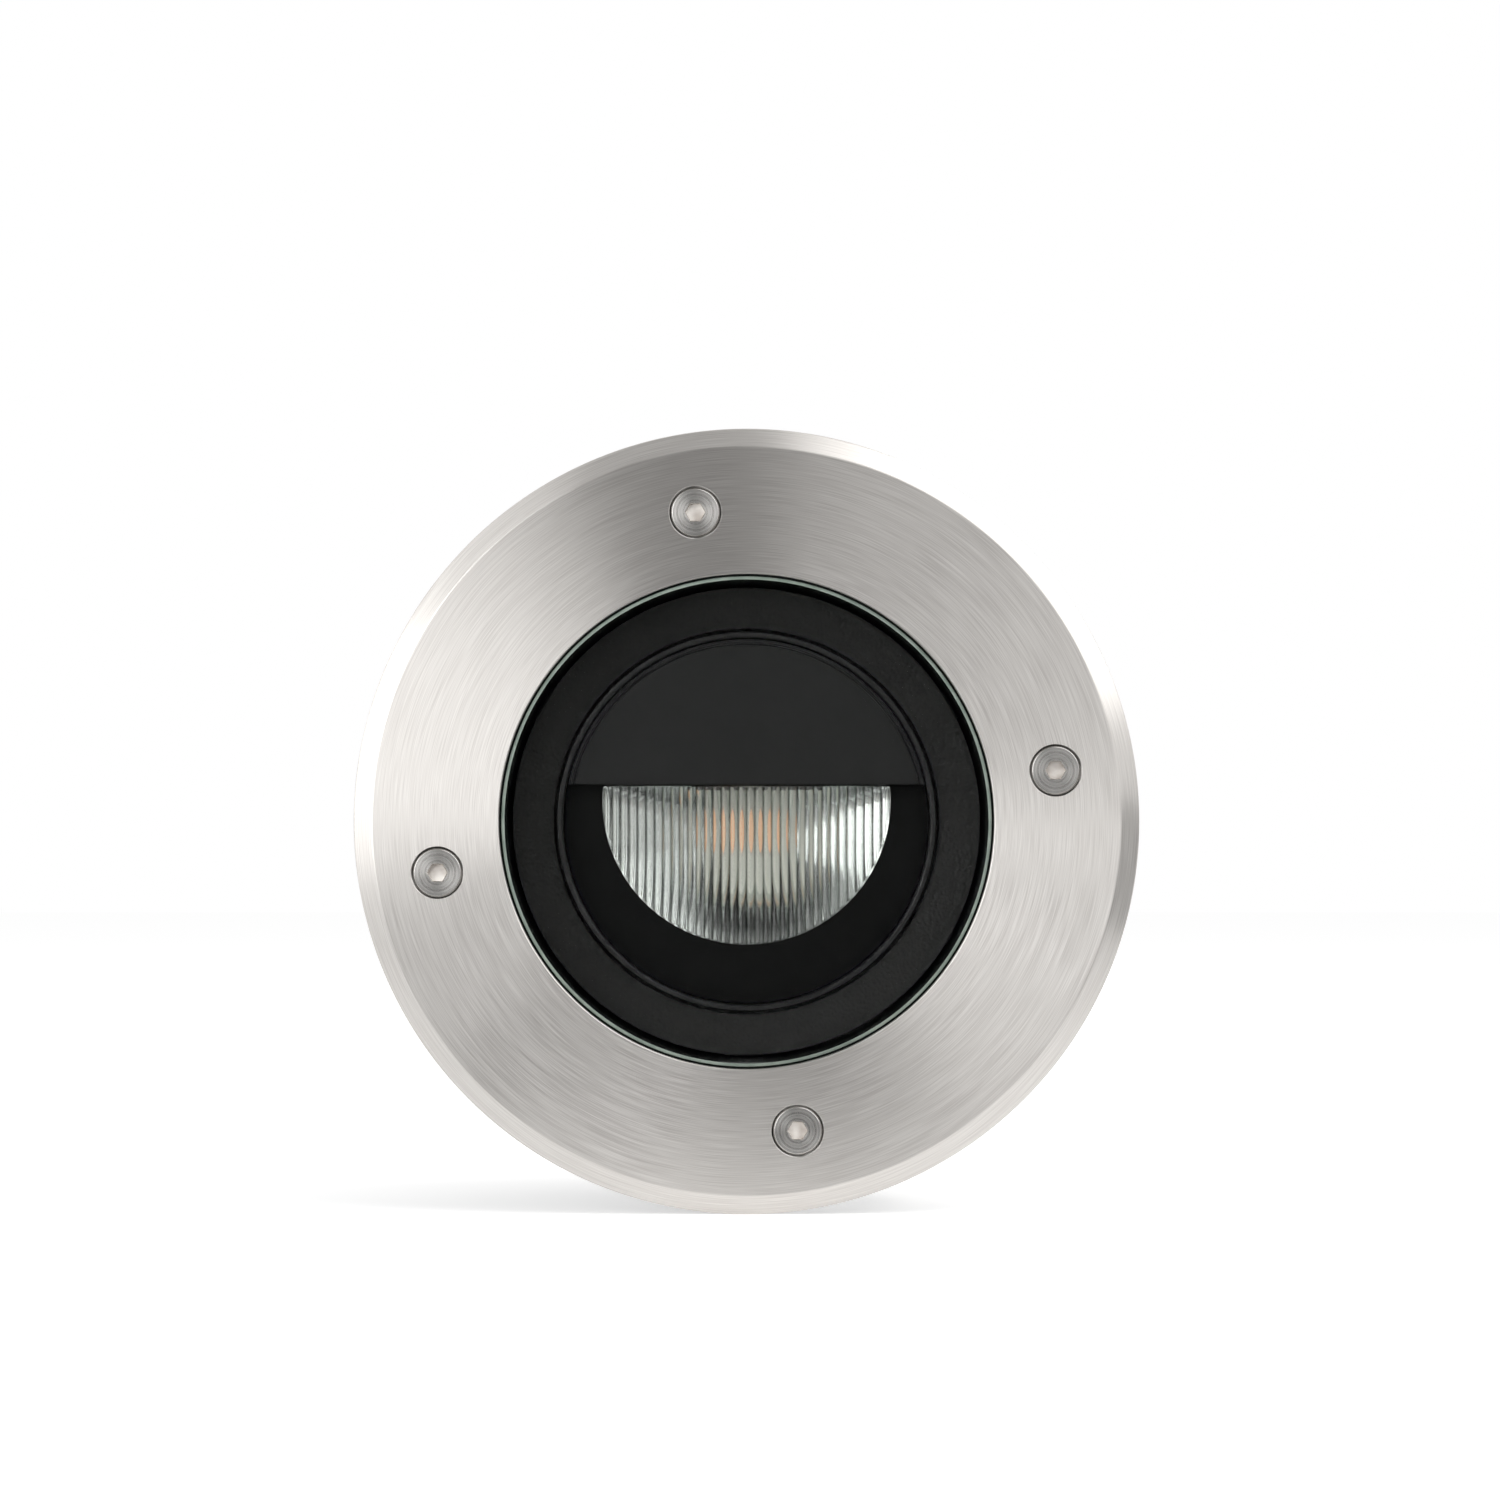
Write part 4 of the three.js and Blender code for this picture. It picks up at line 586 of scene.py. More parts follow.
# Optic cup: a turned aluminium cup, anodised black, with a hollow hub behind that turns in the
# carrier plate. Its rim shows round the shield.
fine_sides = 192
cup_radius = 45.05
cup_front_y = 10.6
cup_mouth = 43.5
cup_inside = 41
ledge_y = 18.8
cup_floor_y = 41
cup_back_y = 46
mouth_chamfer = 0.45
hub_radius = 24
hub_bore = 20
hub_end_y = 54
clip_radius = 22.8
clip_y = (51.1, 52.6)
optic_cup = turn("optic_cup", [
    (0, cup_floor_y),
    (cup_inside, cup_floor_y),
    (cup_inside, ledge_y),
    (cup_mouth, ledge_y),
    (cup_mouth, cup_front_y + mouth_chamfer),
    (cup_mouth + mouth_chamfer, cup_front_y),
    (cup_radius - 0.25, cup_front_y),
    (cup_radius - 0.2, cup_front_y + 0.8),
    (cup_radius, cup_front_y + 0.9),
    (cup_radius, cup_back_y),
    (hub_radius, cup_back_y),
    (hub_radius, clip_y[0]),
    (clip_radius, clip_y[0]),
    (clip_radius, clip_y[1]),
    (hub_radius, clip_y[1]),
    (hub_radius, hub_end_y),
    (hub_bore, hub_end_y),
    (hub_bore, cup_back_y),
    (0, cup_back_y),
], fine_sides)
rounded(optic_cup, 0.1)
mask_screw_places = [polar(38, 35), polar(38, 145)]
boss_foot_y = cup_floor_y + overrun
fuse(optic_cup, *[
    rod("boss", 3.2, ledge_y, boss_foot_y, place, 24) for place in mask_screw_places
])
land_half_width = 6.3
stop_groove = ring("groove", 30.7, 35.3, 43, cup_back_y + overrun, 96)
land = block("land", (20, 42, -land_half_width), (40, 48, land_half_width))
cut(stop_groove, around(land, [90]))
led_z = -2.3
hole_front_y = cup_floor_y - overrun
cut(
    optic_cup,
    stop_groove,
    *[drill(m3_hole, ledge_y - overrun, 25.5, place) for place in mask_screw_places],
    *[drill(m3_hole, hole_front_y, 45.3, (x, led_z)) for x in (-11.5, 11.5)],
    drill(2, hole_front_y, cup_back_y + overrun, (0, 16.5)),
)
smooth(optic_cup)


def turning(tree, place, line):
    """The way out from a Y axis, and a vector that grows by 1 with each line width from it."""
    flat = add_node(tree, "VectorMath", {"operation": "MULTIPLY", 1: (1, 0, 1)}, {0: place})
    spoke = {0: flat.outputs[0]}
    reach = add_node(tree, "VectorMath", {"operation": "LENGTH"}, spoke).outputs["Value"]
    across = add_node(tree, "Math", {"operation": "DIVIDE", 1: line * mm}, {0: reach})
    track = add_node(tree, "CombineXYZ", links={"Y": across.outputs[0]})
    outward = add_node(tree, "VectorMath", {"operation": "NORMALIZE"}, spoke)
    return outward.outputs[0], track.outputs[0]


# How fast a tool line changes on its way round
strokes = 6


def turned_finish(name, dark, light, metallic, roughness, line, depth, **more):
    """A lathe-turned finish: fine lines round the main axis, about one line width apart."""
    material = new_material(name)
    tree = material.node_tree
    outward, track = turning(tree, add_node(tree, "TexCoord").outputs["Object"], line)
    along = add_node(tree, "VectorMath", {"operation": "SCALE", "Scale": strokes}, {0: outward})
    path = add_node(tree, "VectorMath", {"operation": "ADD"}, {0: along.outputs[0], 1: track})
    lines = add_node(tree, "TexNoise", {"Scale": 1, "Detail": 1, "Roughness": 0.5}, {
        "Vector": path.outputs[0],
    }).outputs["Fac"]
    skinned(
        tree, lines, lines, dark, light, roughness, 0.05, depth,
        {"Metallic": metallic, **more}, Tangent=outward,
    )
    return material


# Black anodised, turned aluminium: satin, with turning lines that catch the light on the rim
turned_black = turned_finish(
    "black_anodised_turned_aluminium", "0f0f0f", "121212", 0, 0.34, 0.4, 0.0005,
)
fitted(optic_cup, turned_black, "optic", "satin_black_metal", "optic_cup")

# LED: a round phosphor pad on a white board, pressed on its thermal pad by a screwed holder.
# Only the phosphor shows, as a warm patch spread sideways by the lens ribs.
emitter_radius = 5.15
emitter_front_y = 37.6
emitter_back_y = 38.1
emitter = turn("led_emitter", [
    (0, emitter_front_y), (emitter_radius - 0.55, emitter_front_y),
    (emitter_radius, emitter_front_y + 0.15), (emitter_radius, emitter_back_y),
    (0, emitter_back_y),
], 64, (0, led_z))
smooth(emitter)
white_board = surface("white_ceramic_board", "deded8", "ebebe6", 0, 0.38, 0.8, 0.01)
grey_pad = surface("grey_thermal_pad", "8f989d", "a3abb0", 0, 0.75, 0.4, 0.02)
# Phosphor in silicone: pale orange when the LED is off; its faint even glow is painted light that
# stands for its fluorescence in lamp light
phosphor = surface("orange_led_phosphor", "f6d0a8", "f9dab6", 0, 0.5, 0.4, 0.01, **{
    "Emission Color": linear("ffc49a"), "Emission Strength": 0.3,
})
fitted(emitter, phosphor, "optic", "led_phosphor", "led_emitter")
node_finish(white_board, "led_board")
node_finish(grey_pad, "thermal_pad")

# Reflector: a thin moulded shell, metallised bright, that opens from the round LED holder to
# the half-moon window. It is held between the lens flange and the holder.
window_radius = 34.35
window_z = 5
window_top = 8.5
throat_radius = 6
mouth_y = 21.1
throat_y = 36
reflector_levels = 16
bowl_curve = 0.65
floor_radius = 13
floor_shift = (1.5, -2.2)
floor_step = 0.02
mouth_lap = 0.6
bowl_depth = throat_y - floor_step - mouth_y
reflector_outline = [(throat_radius, throat_y)]
reflector_outline += [
    (throat_radius, mouth_y + bowl_depth * (1 - (level / reflector_levels) ** bowl_curve))
    for level in range(reflector_levels + 1)
]
reflector = turn("reflector", reflector_outline, 120, (0, led_z), closed=False)
# Each level of the turned tube is spread out, from the round floor to the half-moon mouth
offset = window_z - led_z
for point in reflector.data.vertices:
    angle = math.atan2(point.co.z / mm - led_z, point.co.x / mm)
    depth = throat_y - point.co.y / mm
    share = (max(depth - floor_step, 0) / bowl_depth) ** (1 / bowl_curve)
    lift = offset * math.sin(angle)
    mouth = lift + math.sqrt(lift ** 2 - offset ** 2 + window_radius ** 2)
    if math.sin(angle) > 0:
        mouth = min(mouth, (window_top - led_z) / math.sin(angle))
    along = floor_shift[0] * math.cos(angle) + floor_shift[1] * math.sin(angle)
    floor_edge = along + math.sqrt(along ** 2 - math.hypot(*floor_shift) ** 2 + floor_radius ** 2)
    floor_edge = min(floor_edge, mouth)
    reach = floor_edge + (mouth + mouth_lap - floor_edge) * share
    if depth < floor_step / 2:
        reach = throat_radius
    point.co.x = reach * math.cos(angle) * mm
    point.co.z = (led_z + reach * math.sin(angle)) * mm
pick(reflector)
bpy.ops.mesh.normals_make_consistent(inside=False)
leave()
worked(reflector, "SOLIDIFY", thickness=1 * mm, offset=1, use_even_offset=True)
smooth(reflector, 50)
# Vacuum-metallised plastic: nearly a mirror, slightly softened by the moulded skin under it
mirror = surface("metallised_reflector", "d3d8d5", "dadedb", 1, 0.13, 4, 0.001, 0.02)
fitted(reflector, mirror, "optic", "mirror_aluminium", "reflector")
# The flat floor round the LED is painted matt white. The top wall is made black as painted shade,
# standing for the shadowed top of the bowl
floor_paint = surface("matt_white_paint", "f4f4e6", "f7f7ec", 0, 0.55, 1, 0.001)
painted_shade_black = surface("black_top_wall_painted_shade", "0a0a0a", "0e0e0e", 0, 0.5, 1, 0.001)
for finish in (floor_paint, painted_shade_black):
    reflector.data.materials.append(finish)
for face in reflector.data.polygons:
    if face.center.y / mm > throat_y - 0.25:
        face.material_index = 1
    # Painted shade: the flat top faces near the window take the black
    elif face.center.z / mm > window_top - 1 and abs(face.normal.z) > 0.9:
        face.material_index = 2

# Lens: clear acrylic moulded with 34 upright ribs on a half-moon flange, clamped behind the
# mask. The ribs spread the light sideways along the wall.
rib_count = 34
rib_pitch = 2
rib_height = 0.56
rib_steps = 10
rib_valley_y = 17.75
block_back_y = 19.8
lens_front_y = 18.8
lens_back_y = 20.8
rib_span = 72
rib_left_x = -rib_count * rib_pitch / 2
window_gap = 0.3
flange_width = 2.15


def half_moon(name, growth, front_y, back_y, corner=0):
    """A half-moon plate in the shape of the window, grown all round, with rounded corners."""
    radius = window_radius + growth
    top = window_top + growth
    piece = rod(name, radius, front_y, back_y, (0, window_z), pot_sides)
    sawn(piece, top, clear_outer=True)
    if corner:
        corner_x = math.sqrt(radius ** 2 - (top - window_z) ** 2)
        pick(piece, lambda place: abs(place.z - top) < 0.01 and abs(abs(place.x) - corner_x) < 0.1)
        bpy.ops.mesh.bevel(offset=corner * mm, segments=4, affect="EDGES")
        leave()
    return piece


rib = []
for step in range(rib_steps + 1):
    share = step / rib_steps
    swell = rib_height * (1 - (2 * share - 1) ** 2)
    rib.append((rib_left_x + rib_pitch * share, rib_valley_y - swell))
ribbed_lens = drawn("ribbed_lens", rib, -rib_span / 2)
leave()
worked(
    ribbed_lens, "ARRAY", count=rib_count, use_relative_offset=False, use_constant_offset=True,
    constant_offset_displace=(rib_pitch * mm, 0, 0), use_merge_vertices=True,
    merge_threshold=0.01 * mm,
)
pick(ribbed_lens)
bpy.ops.mesh.extrude_region_move(TRANSFORM_OT_translate={"value": (0, 0, rib_span * mm)})
bpy.ops.mesh.select_all(action="SELECT")
bpy.ops.mesh.extrude_region_move(TRANSFORM_OT_translate={"value": (0, 3 * mm, 0)})
bpy.ops.transform.resize(value=(1, 0, 1), center_override=(0, block_back_y * mm, 0))
bpy.ops.mesh.select_all(action="SELECT")
bpy.ops.mesh.normals_make_consistent(inside=False)
leave()
combined(ribbed_lens, "INTERSECT", [half_moon("window", -window_gap, 15, block_back_y, 1)])
fuse(ribbed_lens, half_moon("flange", flange_width, lens_front_y, lens_back_y, 1))
smooth(ribbed_lens, 40)


def clear_material(name, tint, ior, roughness, wave, depth):
    """A clear material that lets lamps through, with a faint wave in its skin."""
    material = new_material(name)
    tree = material.node_tree
    skin = add_node(tree, "TexNoise", {"Scale": 1 / (wave * mm), "Detail": 2}, {
        "Vector": add_node(tree, "TexCoord").outputs["Object"],
    }).outputs["Fac"]
    gloss = add_node(tree, "MapRange", {
        1: 0.3, 2: 0.7, 3: roughness / 2, 4: roughness * 1.5,
    }, {0: skin})
    bump = add_node(tree, "Bump", {"Distance": depth * mm}, {"Height": skin})
    clear = add_node(tree, "BsdfPrincipled", {
        "Base Color": linear(tint), "IOR": ior, "Transmission Weight": 1,
    }, {"Roughness": gloss.outputs[0], "Normal": bump.outputs[0]})
    open_way = add_node(tree, "BsdfTransparent", {"Color": linear(tint)})
    ray = add_node(tree, "LightPath")
    shader = add_node(tree, "MixShader", links={
        0: ray.outputs["Is Shadow Ray"], 1: clear.outputs[0], 2: open_way.outputs[0],
    })
    add_node(tree, "OutputMaterial", links={"Surface": shader.outputs[0]})
    return material


# Injection-moulded acrylic: water clear, with a very faint flow wave
acrylic = clear_material("clear_moulded_acrylic", "fefefe", 1.49, 0.13, 6, 0.0005)
# The sharp valleys between the ribs lose light; painted shade darkens the acrylic's colour there
# into dark upright lines
tree = acrylic.node_tree
place = add_node(tree, "TexCoord").outputs["Object"]
deep = add_node(tree, "SeparateXYZ", links={0: place}).outputs["Y"]
above = add_node(tree, "Math", {"operation": "SUBTRACT", 1: rib_valley_y * mm}, {0: deep})
above = add_node(tree, "Math", {"operation": "ABSOLUTE"}, {0: above.outputs[0]})
valley_shade_fade = add_node(tree, "MapRange", {1: 0.03 * mm, 2: 0.34 * mm}, {0: above.outputs[0]})
# Painted shade: the colour turns dark grey in each rib valley and clear away from it
tint = add_node(tree, "Mix", {
    "data_type": "RGBA", 6: linear("5c5e59"), 7: linear("fefefe"),
}, {0: valley_shade_fade.outputs[0]})
clear = next(node for node in tree.nodes if node.type == "BSDF_PRINCIPLED")
tree.links.new(tint.outputs[2], clear.inputs["Base Color"])
fitted(ribbed_lens, acrylic, "optic", "clear_lens", "ribbed_lens")

# Window mask: a black disc with the half-moon window, screwed to the cup's two bosses. Its lower
# half shows below the shield, set deeper, and its darker colour there is painted shade.
disc_radius = 43.2
mask_front_y = 16.5
mask_back_y = 18.5
leg_places = [(0, 37.5), (-25, 14.5), (25, 14.5)]
cut_y = (mask_front_y - overrun, mask_back_y + overrun)
window_mask = rod("window_mask", disc_radius, mask_front_y, mask_back_y, sides=pot_sides)
cut(window_mask, half_moon("window", 0, *cut_y, 1.2))
rounded(window_mask, 0.3)
cut(
    window_mask,
    *[drill(m3_hole, *cut_y, place) for place in mask_screw_places],
    *[drill(1.5, *cut_y, place) for place in leg_places],
)
smooth(window_mask)
# Moulded black polycarbonate: deep and even, with a soft sheen. Its colour and gloss are set
# darker than the shield's as painted shade for its deeper place.
mask_black_and_shade = surface("black_moulded_polycarbonate_and_painted_shade", "060606", "090909", 0, 0.4, 0.6, 0.003, **{
    "Specular IOR Level": 0.12,
})
fitted(window_mask, mask_black_and_shade, "optic", "satin_black_plastic", "window_mask")

# Shield: a black half disc on three dowelled legs that stops the light from going up. A turned
# groove runs just inside its edge.
shield_front_y = 11
shield_back_y = 12.5
shield_z = 8.7
groove_radius = 41.8
groove_width = 0.5
groove_draft = 0.1
groove_floor_y = shield_front_y + 0.6
step_radius = 42.7
leg_end_y = 16.2
light_shield = turn("light_shield", [
    (0, shield_front_y),
    (groove_radius, shield_front_y),
    (groove_radius + groove_draft, groove_floor_y),
    (groove_radius + groove_width - groove_draft, groove_floor_y),
    (groove_radius + groove_width, shield_front_y),
    (step_radius, shield_front_y),
    (step_radius + groove_draft, groove_floor_y),
    (disc_radius, groove_floor_y),
    (disc_radius, shield_back_y),
    (0, shield_back_y),
], fine_sides)
sawn(light_shield, shield_z, clear_inner=True)
pick(light_shield, lambda place: abs(place.z - shield_z) < 0.01)
bpy.ops.mesh.bevel(offset=0.25 * mm, segments=3, affect="EDGES")
leave()
fuse(light_shield, *[rod("leg", 2, 11.75, leg_end_y, place, 32) for place in leg_places])
fuse(light_shield, *[
    rod("dowel", 1.2, leg_end_y - overrun, leg_end_y + 2, place, 24) for place in leg_places
])
smooth(light_shield)
# Black stoved enamel on turned aluminium: satin, a little lighter than the mask behind it
shield_black = surface("satin_black_enamel", "121212", "151515", 0, 0.42, 0.5, 0.003, **{
    "Specular IOR Level": 0.33,
})
fitted(light_shield, shield_black, "optic", "satin_black_plastic", "light_shield")

# Black plate: a steel ring round the optic with a textured powder coat, on three welded pins
# that plug into the pot's posts.
plate_inner = 45.65
plate_outer = 55.45
plate_front_y = 11
plate_back_y = 13
plate_dish = 1.3
trim_plate = turn("trim_plate", [
    (plate_inner, plate_front_y + plate_dish), (plate_outer, plate_front_y),
    (plate_outer, plate_back_y), (plate_inner, plate_back_y),
], fine_sides)
rounded(trim_plate, 0.2, 3)
pin = rod("pin", 1.5, plate_back_y - overrun, 21, (plate_pin_circle, 0), 24)
fuse(trim_plate, around(pin, plate_pin_angles))
smooth(trim_plate)

# Textured black powder coat: close pits and bumps just under 1 mm across that break up the sheen
grained_black = new_material("grained_black_powder_coat")
tree = grained_black.node_tree
vector = {"Vector": add_node(tree, "TexCoord").outputs["Object"]}
grit = add_node(tree, "TexNoise", {
    "Scale": 1 / (0.9 * mm), "Detail": 5, "Roughness": 0.65,
}, vector)
cells = add_node(tree, "TexVoronoi", {
    "feature": "SMOOTH_F1", "Scale": 1 / (0.8 * mm), "Smoothness": 0.6,
}, vector)
grains = add_node(tree, "Math", {"operation": "ADD"}, {
    0: grit.outputs["Fac"], 1: cells.outputs["Distance"],
}).outputs[0]
skinned(
    tree, grains, grains, "080807", "131312", 0.43, 0.09, 0.12, {"Specular IOR Level": 0.3},
    tone_range=(0.6, 1.2), skin_range=(0.6, 1.2),
)
fitted(trim_plate, grained_black, "light_body", "grained_black", "trim_plate")

# Gasket: a U-section ring of grey silicone stretched round the glass's flange, squeezed
# between the pot's seat and the bezel.
gasket_inner = 59
gasket_outer = 65.7
gasket_wall = 1.2
gasket_front_y = -0.4
gasket_back_y = 8.8
gasket_web = gasket_outer - gasket_wall
glass_gasket = turn("glass_gasket", [
    (gasket_inner, gasket_front_y), (gasket_outer, gasket_front_y),
    (gasket_outer, gasket_back_y), (gasket_inner, gasket_back_y),
    (gasket_inner, gasket_back_y - gasket_wall), (gasket_web, gasket_back_y - gasket_wall),
    (gasket_web, gasket_front_y + gasket_wall), (gasket_inner, gasket_front_y + gasket_wall),
])
smooth(rounded(glass_gasket, 0.3))
grey_silicone = surface("grey_silicone_rubber", "3f403e", "4c4d4b", 0, 0.6, 0.8, 0.02)
fitted(glass_gasket, grey_silicone, "light_body", "grey_silicone", "glass_gasket")

# Glass: a 12 mm toughened pane, stepped so that its top disc fills the bezel's opening. Its
# front edge is ground to a matt bevel that shows as a pale green line.
glass_front_y = -4.7
disc_edge = 57.6
bevel = 0.75
flange_radius = 64.2
flange_y = (1.1, 7.3)
arris = 0.5
front_glass = turn("front_glass", [
    (0, glass_front_y),
    (disc_edge - bevel, glass_front_y),
    (disc_edge, glass_front_y + bevel),
    (disc_edge, flange_y[0]),
    (flange_radius - arris, flange_y[0]),
    (flange_radius, flange_y[0] + arris),
    (flange_radius, flange_y[1] - arris),
    (flange_radius - arris, flange_y[1]),
    (0, flange_y[1]),
], fine_sides)
smooth(front_glass, 20)
float_glass = clear_material("toughened_float_glass", "fcfdfc", 1.52, 0.01, 30, 0.001)
# Ground glass edge: matt and pale, as the grinding marks scatter the green of the pane
ground_edge = surface("ground_glass_edge", "94a499", "adbbb0", 0, 0.5, 0.4, 0.02, **{
    "IOR": 1.52, "Transmission Weight": 0.25,
})
fitted(front_glass, float_glass, "light_body", "clear_glass", "front_glass")
# Sawn edge of the pane: opaque deep green, partly the pane's own green and partly painted shade
# for the edge in its seat's shadow
edge_green_and_shade = surface("green_glass_edge_and_painted_shade", "26302a", "2d3831", 0, 0.45, 0.6, 0.01)
for finish in (ground_edge, edge_green_and_shade):
    front_glass.data.materials.append(finish)
for face in front_glass.data.polygons:
    reach = math.hypot(face.center.x, face.center.z) / mm
    if reach > disc_edge - bevel and face.center.y / mm < glass_front_y + bevel:
        face.material_index = 1
    # Painted shade with the pane's own green: the disc's side and the flange take the opaque dark
    # green
    elif reach > disc_edge - 0.6 and face.center.y / mm < flange_y[1] - 0.4:
        face.material_index = 2

# Bezel: a broad ring turned from 5 mm stainless plate, chamfered outside, with a register that
# drops round the pot's rim. The face is brushed in circles on the lathe.
bezel_low, bezel_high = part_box("bezel_ring")
bezel_radius = bezel_high.x / mm
bezel_face_y = bezel_low.y / mm
bezel_opening = 58.2
chamfer_inner = 88
chamfer_y = -1.8
register_radius = 82.3
register_y = -0.7
bezel_ring = turn("bezel_ring", [
    (bezel_opening, bezel_face_y),
    (chamfer_inner, bezel_face_y),
    (bezel_radius, chamfer_y),
    (bezel_radius, 0),
    (register_radius, 0),
    (register_radius, register_y),
    (bezel_opening, register_y),
], 240)
rounded(bezel_ring, 0.3, 3)
sink_radius = 6.15
countersink = turn("countersink", [
    (0, bezel_face_y - overrun), (sink_radius + 1.1, bezel_face_y - overrun),
    (sink_radius, bezel_face_y + 0.1), (sink_radius, bezel_face_y + 0.5),
    (m6_hole, bezel_face_y + 3.25), (m6_hole, overrun), (0, overrun),
], 64, (screw_circle, 0))
cut(bezel_ring, around(countersink, screw_angles))
smooth(bezel_ring)
# Circular-brushed stainless steel: the lines run round the axis, so the highlights spread along
# the radius into a fan. Real lines are finer than a tenth of a millimetre and are drawn coarser
brushed_steel = turned_finish(
    "circular_brushed_stainless_steel", "c6c2be", "dcd9d5", 1, 0.36, 0.15, 0.005, Anisotropic=0.92,
)
fitted(bezel_ring, brushed_steel, "light_body", "brushed_stainless", "bezel_ring")

# Bezel screws: M6 countersunk hexagon-socket screws in plain stainless, turned bright on the
# head. They pull the bezel and the glass down on the pot.
screw_face_y = bezel_face_y + 0.1
lead_in_depth = 0.25


def socket_screw(name, outline, socket_radius, socket_depth, front_y=0):
    """A screw along the Y axis with a hexagon socket in its head, keeping its own coordinates."""
    screw = turn(name, outline, 64)
    rounded(screw, 0.08)
    hole = turn("socket", [
        (0, front_y - overrun), (socket_radius, front_y - overrun),
        (socket_radius, front_y + socket_depth), (0, front_y + socket_depth + 0.2),
    ], hexagon)
    lead_in = turn("lead_in", [
        (0, front_y - overrun), (socket_radius + overrun + lead_in_depth, front_y - overrun),
        (socket_radius, front_y + lead_in_depth), (0, front_y + lead_in_depth),
    ], hexagon)
    cut(screw, hole, lead_in)
    smooth(screw)
    for face in screw.data.polygons:
        off_axis = math.hypot(face.center.x, face.center.z) / mm
        if off_axis < socket_radius and face.center.y / mm > front_y + 0.3:
            face.material_index = 1
    own = screw.data.attributes.new("own_place", "FLOAT_VECTOR", "POINT")
    for point in screw.data.vertices:
        own.data[point.index].vector = point.co
    return screw


head_radius = 5.8
shank_radius = 3
bezel_screw = socket_screw("bezel_screw", [
    (0, 0), (head_radius - 0.4, 0), (head_radius, 0.4), (shank_radius, 3.2),
    (shank_radius, 21.5), (shank_radius - 0.5, 22), (0, 22),
], socket_radius=2.31, socket_depth=1.4)

# Bright turned stainless: fine rings round each screw's own axis
bright_steel = new_material("turned_stainless_screw")
tree = bright_steel.node_tree
own_place = add_node(tree, "Attribute", {"attribute_name": "own_place"})
outward, track = turning(tree, own_place.outputs["Vector"], 0.5)
rings = add_node(tree, "TexNoise", {"Scale": 1, "Detail": 3}, {"Vector": track}).outputs["Fac"]
skinned(
    tree, rings, rings, "a9a7a4", "c6c4c1", 0.28, 0.04, 0.008,
    {"Metallic": 1, "Anisotropic": 0.7}, Tangent=outward,
)

# Pressed socket of a screw: the same steel, left matt and pale by the punch
pressed_steel = surface("pressed_stainless_socket", "bdb5ae", "ece8e3", 1, 0.55, 0.5, 0.03)

for number, angle in enumerate(screw_angles, 1):
    screw = copied(bezel_screw, f"bezel_screw_{number}")
    screw.location.y = screw_face_y * mm
    set_down(screw, *polar(screw_circle, angle))
    fitted(screw, bright_steel, "light_body", "plain_steel", f"bezel_screw_{number}")
    screw.data.materials.append(pressed_steel)
bpy.data.meshes.remove(bezel_screw.data)

# Retaining springs: three strips of tempered stainless, bent to bow out against the recess,
# each held on its pad by one pan-head screw.
foot_radius = 66.3
foot_end_y = 100
foot_front_y = 82
belly = (86.1, 44)
tip = (80, 29)
spring_width = 12
bend_steps = 14


def bezier(points, share):
    """A point on a Bezier curve through control points."""
    while len(points) > 1:
        points = [
            tuple(a + (b - a) * share for a, b in zip(start, end))
            for start, end in zip(points, points[1:])
        ]
    return points[0]


fall = foot_front_y - belly[1]
curl = belly[1] - tip[1]
bow = [
    (foot_radius, foot_front_y), (foot_radius, foot_front_y - fall / 4),
    (belly[0], belly[1] + fall / 3), belly,
]
hook = [belly, (belly[0], belly[1] - curl / 2), tip]
strip = [(foot_radius, foot_end_y)]
strip += [bezier(bow, step / bend_steps) for step in range(bend_steps + 1)]
strip += [bezier(hook, step / bend_steps) for step in range(1, bend_steps + 1)]
spring = drawn("spring", strip, -spring_width / 2)
bpy.ops.mesh.extrude_region_move(TRANSFORM_OT_translate={"value": (0, 0, spring_width * mm)})
leave()
for corner_y in (foot_end_y, tip[1]):
    pick(spring, lambda place: abs(place.y - corner_y) < 0.01)
    bpy.ops.mesh.bevel(offset=2 * mm, segments=4, affect="VERTICES")
    leave()
worked(spring, "SOLIDIFY", thickness=0.8 * mm, offset=0, use_even_offset=True)
cut(spring, side_drill(m4_hole, 70, 62, 32))
rounded(spring, 0.12, 2, 40)
smooth(spring)
pan_radius = 3.6
pan_front_y = -2.2
pan_chamfer = 0.7
pan_shank = 2
pan_end_y = 6.3
spring_screw = socket_screw("spring_screw", [
    (0, pan_front_y), (pan_radius - pan_chamfer, pan_front_y),
    (pan_radius, pan_front_y + pan_chamfer), (pan_radius, 0), (pan_shank, 0),
    (pan_shank, pan_end_y), (0, pan_end_y),
], socket_radius=1.44, socket_depth=1.3, front_y=pan_front_y)
for number, angle in enumerate(spring_angles, 1):
    blade = set_down(copied(spring, f"retaining_spring_{number}"), twist=angle)
    fitted(blade, spring_steel, "light_body", "spring_steel", f"retaining_spring_{number}")
    screw = copied(spring_screw, f"spring_screw_{number}")
    screw.rotation_euler.z = math.radians(90)
    screw.location = (67 * mm, spring_screw_y * mm, 0)
    bpy.ops.object.transform_apply(location=True, rotation=True, scale=True)
    set_down(screw, twist=angle)
    fitted(screw, bright_steel, "light_body", "plain_steel", f"spring_screw_{number}")
    screw.data.materials.append(pressed_steel)
bpy.data.meshes.remove(spring.data)
bpy.data.meshes.remove(spring_screw.data)

# Studio: a white floor and a white surround, large soft lamps from the left, the upper right
# and behind, and cards from black to white that only show in reflections.
scene = bpy.context.scene
floor_z = bezel_low.z
world = bpy.data.worlds.new("white_studio")
scene.world = world
world.use_nodes = True
world.node_tree.nodes.clear()


